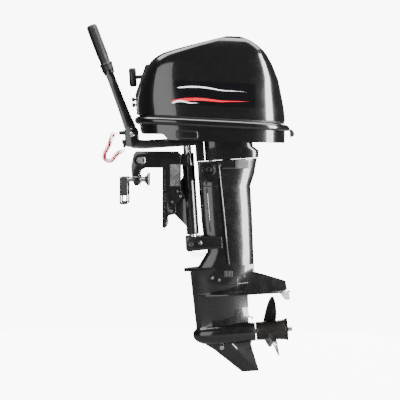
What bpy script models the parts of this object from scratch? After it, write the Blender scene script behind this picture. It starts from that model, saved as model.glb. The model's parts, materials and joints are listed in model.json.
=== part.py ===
"""Outboard motor, short shaft, on its transom clamp: every casting, cover, shaft and gear as its own object.

Metres, +Z up. The origin is on the clamp's transom face, midway between its two brackets and level
with the top of the boat's transom. +X points aft, +Y to starboard. The clamp stands upright; all that
tilts is modelled square in the frame of the empty tilt_frame, which leans by the trim angle.
"""

import math

import bmesh
import bpy
from mathutils import Matrix, Vector

# --- Driving dimensions --------------------------------------------------------------------------

FIT = 0.0003  # gap between two pieces that touch
RUN = 0.0004  # gap round a shaft that turns or slides

TRIM = math.radians(3.8)  # lean of the motor: its foot is kicked aft
TILT_X, TILT_Z = -0.068, 0.023  # tilt axis, from the origin

# Clamp
BRACKET_Y = 0.056  # centre of each bracket, and of its clamp screw
BRACKET_T = 0.016
FACE_T, FACE_HALF_W = 0.008, 0.016  # flange that bears on the transom
CLAMP_GAP = 0.042  # open between the pads and the transom face
SCREW_R, SCREW_Z, SCREW_PITCH = 0.006, -0.036, 0.002
PAD_R, PAD_T = 0.020, 0.007
TILT_BOLT_R = 0.006
ROD_R, ROD_X, ROD_Z = 0.005, 0.026, -0.131  # thrust rod, from the origin

# All below is in the frame of the tilt axis: +X aft, +Z up along the leg
STEER_X = 0.145  # steering axis
STEER_SHAFT_R, SWIVEL_R = 0.0125, 0.019
SWIVEL_TOP, SWIVEL_BOTTOM = 0.012, -0.238
CRANK_X = 0.214  # crankshaft and drive shaft
PLATE_Z = -0.430  # underside of the anti-ventilation plate
PROP_R, HUB_R = 0.105, 0.030
PROP_DROP = PROP_R + 0.016  # plate to propeller axis
SKEG_DROP = PROP_R + 0.018  # propeller axis to the skeg's foot
LEG_HALF_W, LEG_FRONT, LEG_REAR = 0.034, 0.173, 0.331
LEG_TOP, LEG_FOOT = -0.016, -0.342
SHAFT_R = 0.006  # drive shaft
PROP_SHAFT_R = 0.007

COWL_LENGTH, COWL_HALF_W, COWL_HEIGHT = 0.451, 0.142, 0.250
COWL_WALL = 0.003
SEAM_FRONT_Z, SEAM_DROP = 0.139, 0.053  # the seam falls aft by this
BAND_H = 0.024
PAN_FLOOR_Z = 0.066  # top of the lower cowl's floor

TILLER_X, TILLER_Z = -0.021, 0.087
TILLER_LEAN = math.radians(17.1)  # forward of the motor's own upright
TILLER_LENGTH, GRIP_LENGTH, GRIP_R = 0.205, 0.146, 0.0165
STARTER_Y, STARTER_Z = 0.050, 0.257

PROP_Z = PLATE_Z - PROP_DROP
SKEG_Z = PROP_Z - SKEG_DROP


# --- Ways of making a piece ----------------------------------------------------------------------

for old in list(bpy.data.objects):
    bpy.data.objects.remove(old)

frame = bpy.data.objects.new("tilt_frame", None)
frame.location = (TILT_X, 0, TILT_Z)
frame.rotation_euler = (0, -TRIM, 0)
bpy.context.scene.collection.objects.link(frame)

ALUMINIUM = ("cast aluminium", (0.42, 0.43, 0.44), 0.45, 1.0)
DARK_PAINT = ("dark metallic paint", (0.035, 0.037, 0.04), 0.3, 0.4)
GREY_PAINT = ("grey paint", (0.16, 0.165, 0.17), 0.4, 0.4)
STEEL = ("bright steel", (0.62, 0.62, 0.62), 0.25, 1.0)
IRON = ("dark steel", (0.14, 0.14, 0.145), 0.5, 1.0)
RUBBER = ("black rubber", (0.03, 0.03, 0.03), 0.8, 0.0)
PLASTIC = ("black plastic", (0.045, 0.045, 0.047), 0.5, 0.0)
GREY_PLASTIC = ("grey plastic", (0.3, 0.31, 0.32), 0.5, 0.0)
WHITE_CERAMIC = ("white ceramic", (0.8, 0.8, 0.78), 0.3, 0.0)
ZINC = ("zinc", (0.4, 0.41, 0.43), 0.6, 1.0)
RED = ("red cord", (0.55, 0.02, 0.03), 0.45, 0.0)


def finish(kind):
    name, colour, roughness, metallic = kind
    made = bpy.data.materials.get(name)
    if made is None:
        made = bpy.data.materials.new(name)
        made.use_nodes = True
        shader = made.node_tree.nodes["Principled BSDF"]
        shader.inputs["Base Color"].default_value = (*colour, 1)
        shader.inputs["Roughness"].default_value = roughness
        shader.inputs["Metallic"].default_value = metallic
    return made


def place(obj, kind, parent, origin):
    """Moves the object's origin to the given point, for a piece that turns or slides there."""
    obj.data.materials.append(finish(kind))
    obj.data.transform(Matrix.Translation(-Vector(origin)))
    obj.location = origin
    obj.parent = parent
    return obj


def piece(name, bm, kind, parent=frame, origin=(0, 0, 0)):
    bmesh.ops.recalc_face_normals(bm, faces=bm.faces)
    mesh = bpy.data.meshes.new(name)
    bm.to_mesh(mesh)
    bm.free()
    obj = bpy.data.objects.new(name, mesh)
    bpy.context.scene.collection.objects.link(obj)
    mesh.shade_smooth()
    mesh.set_sharp_from_angle(angle=math.radians(35))
    return place(obj, kind, parent, origin)


def helper(bm, parent):
    """A shape that only takes part in a Boolean."""
    obj = piece("cutter", bm, IRON, parent)
    obj.hide_render = True
    obj.display_type = "WIRE"
    return obj


def boolean(obj, operation, bm):
    shape = helper(bm, obj.parent)
    step = obj.modifiers.new(operation.lower(), "BOOLEAN")
    step.operation = operation
    step.object = shape


def cut(obj, *shapes):
    for shape in shapes:
        boolean(obj, "DIFFERENCE", shape)
    return obj


def join(obj, *shapes):
    for shape in shapes:
        boolean(obj, "UNION", shape)
    return obj


def walls(rings):
    """The side faces through rings of equal counts, and the rows of vertices."""
    bm = bmesh.new()
    rows = [[bm.verts.new(p) for p in ring] for ring in rings]
    count = len(rows[0])
    for low, high in zip(rows, rows[1:]):
        for i in range(count):
            j = (i + 1) % count
            bm.faces.new((low[i], low[j], high[j], high[i]))
    return bm, rows


def loft(rings):
    """A closed solid through rings of equal counts, with flat ends."""
    bm, rows = walls(rings)
    bm.faces.new(rows[0][::-1])
    bm.faces.new(rows[-1])
    return bm


def oval_loft(rings):
    """A closed solid through ovals, whose ends may rise and fall along X: they are strips from side to side."""
    bm, rows = walls(rings)
    count = len(rows[0])
    for row in (rows[0], rows[-1]):
        for i in range(count // 2):
            corners = (row[i], row[i + 1], row[count - 1 - i], row[(count - i) % count])
            bm.faces.new(list(dict.fromkeys(corners)))
    return bm


def box(low, high):
    (x0, y0, z0), (x1, y1, z1) = low, high
    ring = ((x0, y0), (x1, y0), (x1, y1), (x0, y1))
    return loft([[(x, y, z) for x, y in ring] for z in (z0, z1)])


def side_plate(outline, y0, y1):
    """An outline of (x, z) points given thickness along Y."""
    return loft([[(x, y, z) for x, z in outline] for y in (y0, y1)])


def turned(profile, axis="Z", centre=(0, 0, 0), steps=24):
    """A profile of (radius, height) points swept round an axis. Radius 0 closes an end to a point."""
    turn = {"Z": Matrix(), "X": Matrix.Rotation(math.pi / 2, 4, "Y"), "Y": Matrix.Rotation(-math.pi / 2, 4, "X")}
    bm = bmesh.new()
    rows = []
    for r, h in profile:
        if r == 0:
            rows.append([bm.verts.new((0, 0, h))])
            continue
        angles = [math.tau * i / steps for i in range(steps)]
        rows.append([bm.verts.new((r * math.cos(a), r * math.sin(a), h)) for a in angles])
    for low, high in zip(rows, rows[1:]):
        for i in range(steps):
            corners = [low[i % len(low)], low[(i + 1) % len(low)], high[(i + 1) % len(high)], high[i % len(high)]]
            corners = list(dict.fromkeys(corners))
            if len(corners) > 2:
                bm.faces.new(corners)
    if len(rows[0]) > 1 and profile[0] != profile[-1]:
        bm.faces.new(rows[0][::-1])
    if len(rows[-1]) > 1 and profile[0] != profile[-1]:
        bm.faces.new(rows[-1])
    bmesh.ops.remove_doubles(bm, verts=bm.verts, dist=1e-7)
    bmesh.ops.transform(bm, matrix=Matrix.Translation(centre) @ turn[axis], verts=bm.verts)
    return bm


def rod(radius, start, end, steps=20, end_radius=None):
    """A straight round bar between two points."""
    start, end = Vector(start), Vector(end)
    run = end - start
    bm = turned([(radius, 0), (end_radius or radius, run.length)], steps=steps)
    turn = run.to_track_quat("Z", "Y").to_matrix().to_4x4()
    bmesh.ops.transform(bm, matrix=Matrix.Translation(start) @ turn, verts=bm.verts)
    return bm


def ring_bar(outer, inner, start, end, steps=24):
    """A straight tube between two points."""
    start, end = Vector(start), Vector(end)
    run = end - start
    length = run.length
    bm = turned([(outer, 0), (outer, length), (inner, length), (inner, 0), (outer, 0)], steps=steps)
    turn = run.to_track_quat("Z", "Y").to_matrix().to_4x4()
    bmesh.ops.transform(bm, matrix=Matrix.Translation(start) @ turn, verts=bm.verts)
    return bm


def arc(cx, cz, radius, start, end, steps):
    """Points round part of a circle, angles in degrees from +X towards +Z."""
    turns = [math.radians(start + (end - start) * i / steps) for i in range(steps + 1)]
    return [(cx + radius * math.cos(a), cz + radius * math.sin(a)) for a in turns]


def oval(x_front, x_rear, half_w, z, power=2.6, count=32):
    """A ring in plan, between an ellipse and a rectangle. z is a height or a function of x."""
    height = z if callable(z) else lambda x: z
    centre, half = (x_front + x_rear) / 2, (x_rear - x_front) / 2
    ring = []
    for i in range(count):
        a = math.tau * i / count
        c, s = math.cos(a), math.sin(a)
        x = centre + half * math.copysign(abs(c) ** (2 / power), c)
        ring.append((x, half_w * math.copysign(abs(s) ** (2 / power), s), height(x)))
    return ring


def between(x, table):
    """Straight-line reading of a table of (x, value) rows."""
    for (x0, v0), (x1, v1) in zip(table, table[1:]):
        if x <= x1:
            return v0 + (v1 - v0) * (x - x0) / (x1 - x0)
    return table[-1][1]


# --- Transom clamp -------------------------------------------------------------------------------

boss_r = 0.018
hook_bottom = SCREW_Z - 0.018
hook_x = -CLAMP_GAP - 0.030
bracket_outline = [
    (-0.080, 0.050), (0.046, 0.050), (0.055, 0.040), (0.055, -0.069), (0.066, -0.085), (0.030, -0.119),
    (ROD_X + 0.010, ROD_Z - 0.010), (0.016, -0.146), (0.015, -0.176), (0.006, -0.184), (0, -0.180),
    (0, 0), (-0.052, 0), (hook_x + 0.004, -0.008), (hook_x, -0.022), (hook_x, hook_bottom),
    (hook_x - 0.012, hook_bottom), (hook_x - 0.020, -0.030), (hook_x - 0.023, 0.004), (hook_x - 0.016, 0.040),
]
for side, side_name in ((-1, "port"), (1, "starboard")):
    y = side * BRACKET_Y
    bracket = piece(f"{side_name}_clamp_bracket",
                    side_plate(bracket_outline, y - BRACKET_T / 2, y + BRACKET_T / 2), DARK_PAINT, None)
    join(bracket,
         box((0, y - FACE_HALF_W, -0.176), (FACE_T, y + FACE_HALF_W, -0.004)),
         rod(boss_r, (TILT_X, y - 0.013, TILT_Z), (TILT_X, y + 0.013, TILT_Z)),
         rod(0.013, (hook_x - 0.016, y, SCREW_Z), (hook_x + 0.004, y, SCREW_Z)),
         rod(0.010, (ROD_X, y - 0.011, ROD_Z), (ROD_X, y + 0.011, ROD_Z), 16))
    cut(bracket,
        rod(TILT_BOLT_R + RUN, (TILT_X, y - 0.03, TILT_Z), (TILT_X, y + 0.03, TILT_Z), 20),
        rod(SCREW_R + RUN, (hook_x - 0.03, y, SCREW_Z), (hook_x + 0.02, y, SCREW_Z)),
        rod(ROD_R + RUN, (ROD_X, y - 0.03, ROD_Z), (ROD_X, y + 0.03, ROD_Z), 16))

    pad_x = -CLAMP_GAP
    pad = piece(f"{side_name}_clamp_pad", turned(
        [(0, 0.0), (PAD_R, 0.0), (PAD_R, PAD_T * 0.45), (0.011, PAD_T), (0.011, PAD_T + 0.004), (0, PAD_T + 0.004)],
        "X", (0, 0, 0)), ALUMINIUM, None)
    for vertex in pad.data.vertices:
        vertex.co.x = pad_x - vertex.co.x
    pad.data.flip_normals()
    pad.data.transform(Matrix.Translation((0, y, SCREW_Z)))
    screw_head = hook_x - 0.052
    screw = piece(f"{side_name}_clamp_screw",
                  rod(SCREW_R, (screw_head, y, SCREW_Z), (pad_x - PAD_T - 0.004 - FIT, y, SCREW_Z), 16),
                  STEEL, None, (pad_x, y, SCREW_Z))
    eye = screw_head + 0.006
    cut(screw, rod(0.0024, (eye, y - 0.02, SCREW_Z), (eye, y + 0.02, SCREW_Z), 12))
    handle_w, handle_l = 0.024, 0.075
    pivot = (eye, y, SCREW_Z)
    handle = piece(f"{side_name}_clamp_handle", box(
        (eye - handle_w / 2, y - 0.010, SCREW_Z - handle_l), (eye + handle_w / 2, y + 0.010, SCREW_Z + 0.008)),
        GREY_PLASTIC, None, pivot)
    cut(handle,
        box((eye - 0.03, y - SCREW_R - RUN * 2, SCREW_Z - 0.012), (eye + 0.03, y + SCREW_R + RUN * 2, SCREW_Z + 0.02)),
        box((eye - 0.008, y - 0.03, SCREW_Z - handle_l + 0.006), (eye + 0.008, y + 0.03, SCREW_Z - handle_l + 0.027)))
    join(handle, rod(0.0020, (eye, y - 0.009, SCREW_Z), (eye, y + 0.009, SCREW_Z), 12))

inner_y = BRACKET_Y - FACE_HALF_W - FIT
piece("transom_tie_plate", box((0, -inner_y, -0.055), (FACE_T, inner_y, 0.012)), ALUMINIUM, None)

bolt_half = BRACKET_Y + 0.013 + FIT
tilt_bolt = piece("tilt_bolt", rod(TILT_BOLT_R, (TILT_X, -bolt_half - 0.007, TILT_Z), (TILT_X, bolt_half + 0.001, TILT_Z)),
                  STEEL, None)
join(tilt_bolt, *[rod(0.010, (TILT_X, end, TILT_Z), (TILT_X, end + 0.006, TILT_Z), 6)
                  for end in (bolt_half, -bolt_half - 0.006)])
rod_half = BRACKET_Y + 0.017
thrust_rod = piece("thrust_rod", rod(ROD_R, (ROD_X, -rod_half, ROD_Z), (ROD_X, rod_half + 0.004, ROD_Z), 16), STEEL, None,
                   (ROD_X, 0, ROD_Z))
join(thrust_rod, rod(0.009, (ROD_X, rod_half, ROD_Z), (ROD_X, rod_half + 0.006, ROD_Z), 16))


# --- Swivel bracket ------------------------------------------------------------------------------

def from_tilt(x, z):
    """A point of the upright clamp, seen from the leaning tilt frame."""
    dx, dz = x - TILT_X, z - TILT_Z
    return (dx * math.cos(TRIM) + dz * math.sin(TRIM), dz * math.cos(TRIM) - dx * math.sin(TRIM))


rod_x, rod_z = from_tilt(ROD_X, ROD_Z)
barrel_half = BRACKET_Y - 0.013 - FIT
swivel = piece("swivel_bracket", rod(0.0145, (0, -barrel_half, 0), (0, barrel_half, 0)), GREY_PAINT)
join(swivel,
     side_plate([(-0.002, -0.013), (0.088, -0.0125), (STEER_X, -0.030), (STEER_X, 0.006), (0.06, 0.016), (-0.002, 0.013)], -0.024, 0.024),
     rod(SWIVEL_R, (STEER_X, 0, SWIVEL_BOTTOM), (STEER_X, 0, SWIVEL_TOP), 24),
     side_plate([(STEER_X, -0.02), (rod_x + ROD_R + FIT, rod_z + 0.03), (rod_x + ROD_R + FIT, rod_z - 0.009),
                 (STEER_X - 0.012, SWIVEL_BOTTOM + 0.018), (STEER_X, SWIVEL_BOTTOM + 0.004)], -0.009, 0.009),
     box((rod_x + ROD_R + FIT, -0.030, rod_z - 0.010), (rod_x + ROD_R + 0.008, 0.009, rod_z + 0.016)))
cut(swivel,
    rod(TILT_BOLT_R + RUN, (0, -0.06, 0), (0, 0.06, 0)),
    rod(STEER_SHAFT_R + RUN, (STEER_X, 0, SWIVEL_BOTTOM - 0.02), (STEER_X, 0, SWIVEL_TOP + 0.02), 24))
lock_x, lock_z = rod_x + 0.030, rod_z + 0.052
lock_y = 0.0095
lock_up = math.radians(12)  # it rests lifted clear of the thrust rod


def lifted(x, z):
    dx, dz = x - lock_x, z - lock_z
    return (lock_x + dx * math.cos(lock_up) + dz * math.sin(lock_up), lock_z + dz * math.cos(lock_up) - dx * math.sin(lock_up))


lock_outline = [
    (lock_x - 0.006, lock_z - 0.004), (lock_x + 0.005, lock_z - 0.006), (lock_x + 0.007, lock_z + 0.006),
    (lock_x - 0.006, lock_z + 0.006), (rod_x - 0.002, rod_z + 0.012), (rod_x - 0.012, rod_z + 0.004),
    (rod_x - 0.012, rod_z - 0.006), (rod_x - 0.007, rod_z - 0.006), (rod_x - 0.006, rod_z + 0.0065),
    (rod_x + 0.004, rod_z + 0.0085)]
piece("tilt_lock_lever", side_plate([lifted(*p) for p in lock_outline], lock_y + FIT, lock_y + 0.005), STEEL, frame,
      (lock_x, 0, lock_z))


# --- Steering shaft, tiller yoke and mounts ------------------------------------------------------

yoke_low, yoke_high = 0.034, 0.060
lower_top, lower_bottom = SWIVEL_BOTTOM - 0.006, -0.288
piece("steering_shaft", rod(STEER_SHAFT_R, (STEER_X, 0, lower_bottom), (STEER_X, 0, yoke_high + 0.002)), STEEL)

leg_front = LEG_FRONT
mount_x, mount_z = 0.207, -0.042
yoke = piece("steering_bracket", side_plate(
    [(TILLER_X - 0.002, yoke_low + 0.004), (0.010, yoke_low), (0.196, yoke_low), (0.196, yoke_high - 0.008),
     (0.188, yoke_high), (0.020, yoke_high), (TILLER_X - 0.002, yoke_high + 0.006)], -0.030, 0.030), DARK_PAINT)
join(yoke,
     box((STEER_X + SWIVEL_R + 0.006, -0.030, LEG_TOP + FIT), (0.196, 0.030, yoke_high - 0.006)),
     *[side_plate(arc(TILLER_X, TILLER_Z, 0.019, -10, 190, 10) + [(TILLER_X - 0.019, yoke_low + 0.010),
                  (TILLER_X + 0.019, yoke_low + 0.002)], y - 0.004, y + 0.004) for y in (-0.026, 0.026)])
cut(yoke,
    rod(STEER_SHAFT_R + FIT, (STEER_X, 0, 0), (STEER_X, 0, 0.1)),
    box((-0.2, -0.0217, yoke_high + 0.002), (TILLER_X + 0.030, 0.0217, 0.2)),
    box((-0.2, -0.0217, 0), (TILLER_X + 0.024, 0.0217, 0.2)),
    rod(0.0045, (TILLER_X, -0.1, TILLER_Z), (TILLER_X, 0.1, TILLER_Z), 16))

lower = piece("lower_mount_yoke", side_plate(
    [(STEER_X - 0.024, lower_bottom + 0.006), (STEER_X - 0.018, lower_bottom), (0.232, lower_bottom + 0.004),
     (0.232, lower_top - 0.006), (STEER_X + 0.01, lower_top), (STEER_X - 0.024, lower_top)],
    -LEG_HALF_W - 0.014, LEG_HALF_W + 0.014), GREY_PAINT)
cut(lower,
    box((leg_front - 0.004, -LEG_HALF_W - 0.002, -0.4), (0.4, LEG_HALF_W + 0.002, 0)),
    rod(STEER_SHAFT_R + FIT, (STEER_X, 0, -0.4), (STEER_X, 0, 0), 20))

for side, side_name in ((-1, "port"), (1, "starboard")):
    face = side * (LEG_HALF_W + 0.008 + FIT)
    piece(f"{side_name}_upper_mount", turned(
        [(0, 0.013), (0.009, 0.013), (0.011, 0.010), (0.018, 0.010), (0.022, 0.006), (0.022, 0), (0, 0)], "Y",
        (mount_x, 0, mount_z)), RUBBER)
    mount = bpy.data.objects[f"{side_name}_upper_mount"]
    if side < 0:
        mount.data.transform(Matrix.Rotation(math.pi, 4, (0, 0, 1)) @ Matrix.Translation((-2 * mount_x, 0, 0)))
    mount.data.transform(Matrix.Translation((0, face, 0)))


# --- Drive shaft housing -------------------------------------------------------------------------

def leg_ring(z, front, rear, half_w):
    nose = front + 0.020
    tail = rear - 0.040
    ring = [(front, 0.55), (nose, 0.92), ((nose + tail) / 2 - 0.02, 1.0), (tail - 0.02, 0.92), (tail + 0.022, 0.55), (rear, 0.12)]
    right = [(x, -w * half_w, z) for x, w in ring]
    left = [(x, w * half_w, z) for x, w in reversed(ring)]
    return right + left


leg = piece("drive_shaft_housing", loft([
    leg_ring(LEG_TOP - 0.001, leg_front, LEG_REAR + 0.026, LEG_HALF_W),
    leg_ring(LEG_TOP - 0.050, leg_front, LEG_REAR + 0.014, LEG_HALF_W),
    leg_ring(LEG_TOP - 0.085, leg_front, LEG_REAR, LEG_HALF_W),
    leg_ring(-0.200, leg_front + 0.001, LEG_REAR - 0.001, LEG_HALF_W - 0.002),
    leg_ring(lower_top + 0.006, leg_front + 0.003, LEG_REAR - 0.002, LEG_HALF_W - 0.003),
    leg_ring(lower_bottom - 0.006, leg_front + 0.014, LEG_REAR - 0.004, LEG_HALF_W - 0.003),
    leg_ring(LEG_FOOT, leg_front - 0.020, LEG_REAR - 0.005, LEG_HALF_W - 0.001)]), DARK_PAINT)
join(leg, box((leg_front + 0.002, -LEG_HALF_W - 0.008, -0.072), (0.238, LEG_HALF_W + 0.008, LEG_TOP - 0.004)))
cut(leg,
    rod(0.020, (CRANK_X, 0, LEG_FOOT - 0.02), (CRANK_X, 0, 0.02), 20),
    box((0.250, -0.016, LEG_FOOT - 0.02), (0.300, 0.016, 0.02)))


# --- Gearcase ------------------------------------------------------------------------------------

torpedo_r = 0.034
case_top = LEG_FOOT - FIT
plate_t = 0.005


def strut_ring(z, front, rear, half_w):
    ring = [(front, 0.10), (front + 0.014, 0.62), (front + 0.05, 0.95), ((front + rear) / 2 + 0.01, 1.0),
            (rear - 0.045, 0.75), (rear, 0.18)]
    right = [(x, -w * half_w, z) for x, w in ring]
    left = [(x, w * half_w, z) for x, w in reversed(ring)]
    return right + left


gearcase = piece("gearcase", loft([
    strut_ring(case_top, 0.128, 0.327, 0.033),
    strut_ring(case_top - 0.032, 0.129, 0.326, 0.032),
    strut_ring(PLATE_Z + 0.010, 0.131, 0.302, 0.029),
    strut_ring(PLATE_Z - 0.060, 0.134, 0.300, 0.024),
    strut_ring(PROP_Z, 0.137, 0.298, 0.020),
    strut_ring(PROP_Z - 0.030, 0.160, 0.300, 0.010),
    strut_ring(PROP_Z - 0.052, 0.190, 0.304, 0.0065),
    strut_ring(SKEG_Z, 0.268, 0.321, 0.0025)]), DARK_PAINT)
join(gearcase,
     turned([(0, 0.124), (0.010, 0.126), (0.021, 0.136), (0.029, 0.155), (torpedo_r, 0.190), (torpedo_r, 0.262),
             (0.031, 0.296), (0.0285, 0.317), (0, 0.317)], "X", (0, 0, PROP_Z), 28),
     loft([[(x, y, z) for x, y in ((0.141, -0.006), (0.172, -0.052), (0.240, -0.070), (0.400, -0.076),
                                   (0.429, -0.060), (0.429, 0.060), (0.400, 0.076), (0.240, 0.070),
                                   (0.172, 0.052), (0.141, 0.006))] for z in (PLATE_Z, PLATE_Z + plate_t)]),
     side_plate([(0.300, case_top - 0.024), (0.327, case_top - 0.024), (0.352, case_top - 0.032),
                 (0.420, PLATE_Z + 0.030), (0.423, PLATE_Z + 0.002), (0.290, PLATE_Z + 0.002)], -0.009, 0.009),
     loft([[(x, y, z) for x, y in ((0.110, -0.018), (0.150, -0.046), (0.205, -0.042), (0.205, 0.042),
                                   (0.150, 0.046), (0.110, 0.018))] for z in (case_top - 0.008, case_top)]))
bearing_x, gear_front = 0.262, 0.170
cut(gearcase,
    rod(0.025, (gear_front, 0, PROP_Z), (0.33, 0, PROP_Z), 24),
    rod(0.0135, (CRANK_X, 0, PROP_Z), (CRANK_X, 0, case_top + 0.01), 20),
    rod(0.0055, (CRANK_X - 0.046, 0, PROP_Z + 0.012), (CRANK_X - 0.046, 0, case_top + 0.01), 12),
    rod(PROP_SHAFT_R + RUN, (gear_front - 0.025, 0, PROP_Z), (gear_front + 0.01, 0, PROP_Z)))

trim_tab = piece("trim_tab", side_plate([(0.395, PLATE_Z - FIT), (0.428, PLATE_Z - FIT), (0.431, PLATE_Z - 0.030),
                                         (0.415, PLATE_Z - 0.030)], -0.004, 0.004), ZINC)
pump_top, pump_low = LEG_FOOT + 0.050, LEG_FOOT + 0.008
pump = piece("water_pump_housing", rod(0.0185, (CRANK_X, 0, pump_low), (CRANK_X, 0, pump_top), 20), PLASTIC)
cut(pump,
    rod(SHAFT_R + RUN, (CRANK_X, 0, -0.5), (CRANK_X, 0, 0)),
    rod(0.0135, (CRANK_X + 0.001, 0, pump_low - 0.01), (CRANK_X + 0.001, 0, pump_low + 0.024), 20))
carrier = piece("bearing_carrier", ring_bar(0.025 - FIT, PROP_SHAFT_R + RUN, (bearing_x, 0, PROP_Z), (0.313, 0, PROP_Z)),
                ALUMINIUM)


# --- Crankshaft, drive shaft and gears -----------------------------------------------------------

fly_low = 0.205
fly_r = 0.078
turn_point = (CRANK_X, 0, 0)
piece("flywheel", turned([(0.0085, 0.006), (0.022, 0.006), (0.024, 0.0), (fly_r - 0.006, 0.0), (fly_r - 0.006, -0.020),
                          (fly_r, -0.020), (fly_r, 0.012), (0.030, 0.016), (0.0085, 0.016), (0.0085, 0.006)],
                         "Z", (CRANK_X, 0, fly_low), 32), IRON, frame, turn_point)
piece("crankshaft", turned([(0, 0.062), (0.008, 0.062), (0.008, 0.100), (0.012, 0.100), (0.012, 0.112), (0.008, 0.112),
                            (0.008, fly_low + 0.020), (0, fly_low + 0.020)], "Z", turn_point, 20), STEEL, frame, turn_point)
pinion_top = 0.026  # above the propeller axis
piece("drive_shaft", rod(SHAFT_R, (CRANK_X, 0, PROP_Z + pinion_top + FIT), (CRANK_X, 0, 0.062 - FIT), 16), STEEL, frame,
      turn_point)
impeller = piece("pump_impeller", turned([(SHAFT_R + FIT, 0), (0.0085, 0), (0.0085, 0.014), (SHAFT_R + FIT, 0.014),
                                          (SHAFT_R + FIT, 0)], "Z", (CRANK_X, 0, pump_low + 0.004), 16), RUBBER, frame,
                 turn_point)
for k in range(6):
    a = math.tau * k / 6
    blade = box((0.007, -0.001, 0), (0.0118, 0.001, 0.014))
    bmesh.ops.transform(blade, matrix=Matrix.Translation((CRANK_X, 0, pump_low + 0.004)) @ Matrix.Rotation(a, 4, "Z"),
                        verts=blade.verts)
    join(impeller, blade)

pinion_bm = turned([(0, 0), (0.0085, 0), (0.0115, 0.004), (0.0115, pinion_top - 0.0135), (0, pinion_top - 0.0135)], "Z",
                   (CRANK_X, 0, PROP_Z + 0.0135), 26)
piece("pinion_gear", pinion_bm, IRON, frame, turn_point)
for name, low_x, high_x in (("forward_gear", gear_front + 0.004, CRANK_X - 0.0120),
                            ("reverse_gear", CRANK_X + 0.0120, bearing_x - 0.004)):
    inner, outer = PROP_SHAFT_R + RUN, 0.0235
    inward = name == "forward_gear"
    a, b = (low_x, high_x) if inward else (high_x, low_x)
    lean = 0.006 if inward else -0.006
    gear = turned([(inner, a), (0.012, a), (outer, (a + b) / 2), (outer, b - lean), (0.013, b), (inner, b), (inner, a)],
                  "X", (0, 0, PROP_Z), 27)
    piece(name, gear, IRON, frame, (low_x, 0, PROP_Z))
piece("clutch_dog", ring_bar(0.0115, PROP_SHAFT_R + RUN, (CRANK_X - 0.0062, 0, PROP_Z), (CRANK_X + 0.0062, 0, PROP_Z), 16),
      IRON, frame, (CRANK_X, 0, PROP_Z))

hub_start, hub_end = 0.320, 0.417
prop_point = (hub_start, 0, PROP_Z)
shaft_end = hub_end + 0.014
piece("propeller_shaft", rod(PROP_SHAFT_R, (gear_front - 0.015, 0, PROP_Z), (shaft_end, 0, PROP_Z), 16), STEEL, frame,
      prop_point)
propeller = piece("propeller", turned(
    [(PROP_SHAFT_R + FIT, 0), (HUB_R - 0.002, 0), (HUB_R - 0.001, 0.02), (HUB_R, 0.070), (HUB_R + 0.003, hub_end - hub_start),
     (HUB_R - 0.001, hub_end - hub_start), (0.015, hub_end - hub_start - 0.018), (PROP_SHAFT_R + FIT, hub_end - hub_start - 0.018),
     (PROP_SHAFT_R + FIT, 0)], "X", prop_point, 32), GREY_PAINT, frame, prop_point)


def blade_shape(turn):
    """One right-hand blade: sections that twist less and sweep aft towards the tip."""
    pitch = 0.190
    rows = []
    for radius, chord, thick in ((HUB_R - 0.006, 0.050, 0.007), (0.045, 0.062, 0.006), (0.065, 0.072, 0.005),
                                 (0.082, 0.070, 0.004), (0.095, 0.054, 0.003), (PROP_R, 0.022, 0.002)):
        angle = math.atan(pitch / (math.tau * radius))
        rake = 0.20 * (radius - HUB_R)
        ring = []
        for s, t in ((-0.5, 0), (-0.25, 0.8), (0.05, 1), (0.3, 0.7), (0.5, 0), (0.3, -0.3), (0.05, -0.4), (-0.25, -0.3)):
            along, off = s * chord, t * thick
            aft = 0.042 + rake + along * math.sin(angle) + off * math.cos(angle)
            swing = (along * math.cos(angle) - off * math.sin(angle)) / radius + turn
            ring.append((aft, -radius * math.sin(swing), radius * math.cos(swing)))
        rows.append(ring)
    bm = loft(rows)
    bmesh.ops.transform(bm, matrix=Matrix.Translation(prop_point), verts=bm.verts)
    return bm


join(propeller, *[blade_shape(math.radians(5 + 120 * k)) for k in range(3)])
piece("propeller_nut", turned([(PROP_SHAFT_R + FIT, 0), (0.0135, 0), (0.0135, 0.009), (PROP_SHAFT_R + FIT, 0.012),
                               (PROP_SHAFT_R + FIT, 0)], "X", (hub_end - 0.018 + FIT, 0, PROP_Z), 24), STEEL, frame, prop_point)


# --- Covers --------------------------------------------------------------------------------------

def seam_z(x):
    return SEAM_FRONT_Z - SEAM_DROP * x / COWL_LENGTH


# Height above the seam as a share of the cowl's, then front and rear as shares of its length, then half width
dome = ((0.0, 0.000, 1.000, 1.00), (0.18, 0.002, 0.996, 1.00), (0.36, 0.030, 0.982, 0.985), (0.51, 0.065, 0.968, 0.96),
        (0.63, 0.108, 0.945, 0.94), (0.70, 0.148, 0.930, 0.92), (0.76, 0.205, 0.912, 0.90), (0.83, 0.315, 0.890, 0.87),
        (0.90, 0.445, 0.850, 0.83), (0.96, 0.555, 0.800, 0.77), (1.0, 0.630, 0.745, 0.64))


def cowl_rings(shrink, low):
    rings = []
    for share, front, rear, width in dome:
        high = share * COWL_HEIGHT - (shrink if share > 0.5 else 0)
        high = low if share == 0 else high
        rings.append(oval(front * COWL_LENGTH + shrink, rear * COWL_LENGTH - shrink * 1.2,
                          max(width * COWL_HALF_W - shrink * 1.2, 0.004),
                          lambda x, high=high: seam_z(x) + high, 3.4, 36))
    return rings


top_cowl = piece("top_cowl", oval_loft(cowl_rings(0, FIT)), DARK_PAINT)
panel_half = 0.050
panel_top = 0.292
cut(top_cowl, oval_loft(cowl_rings(COWL_WALL, -0.01)),
    box((-0.05, -panel_half - 0.001, 0), (0.052, panel_half + 0.001, panel_top + 0.001)))

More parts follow.
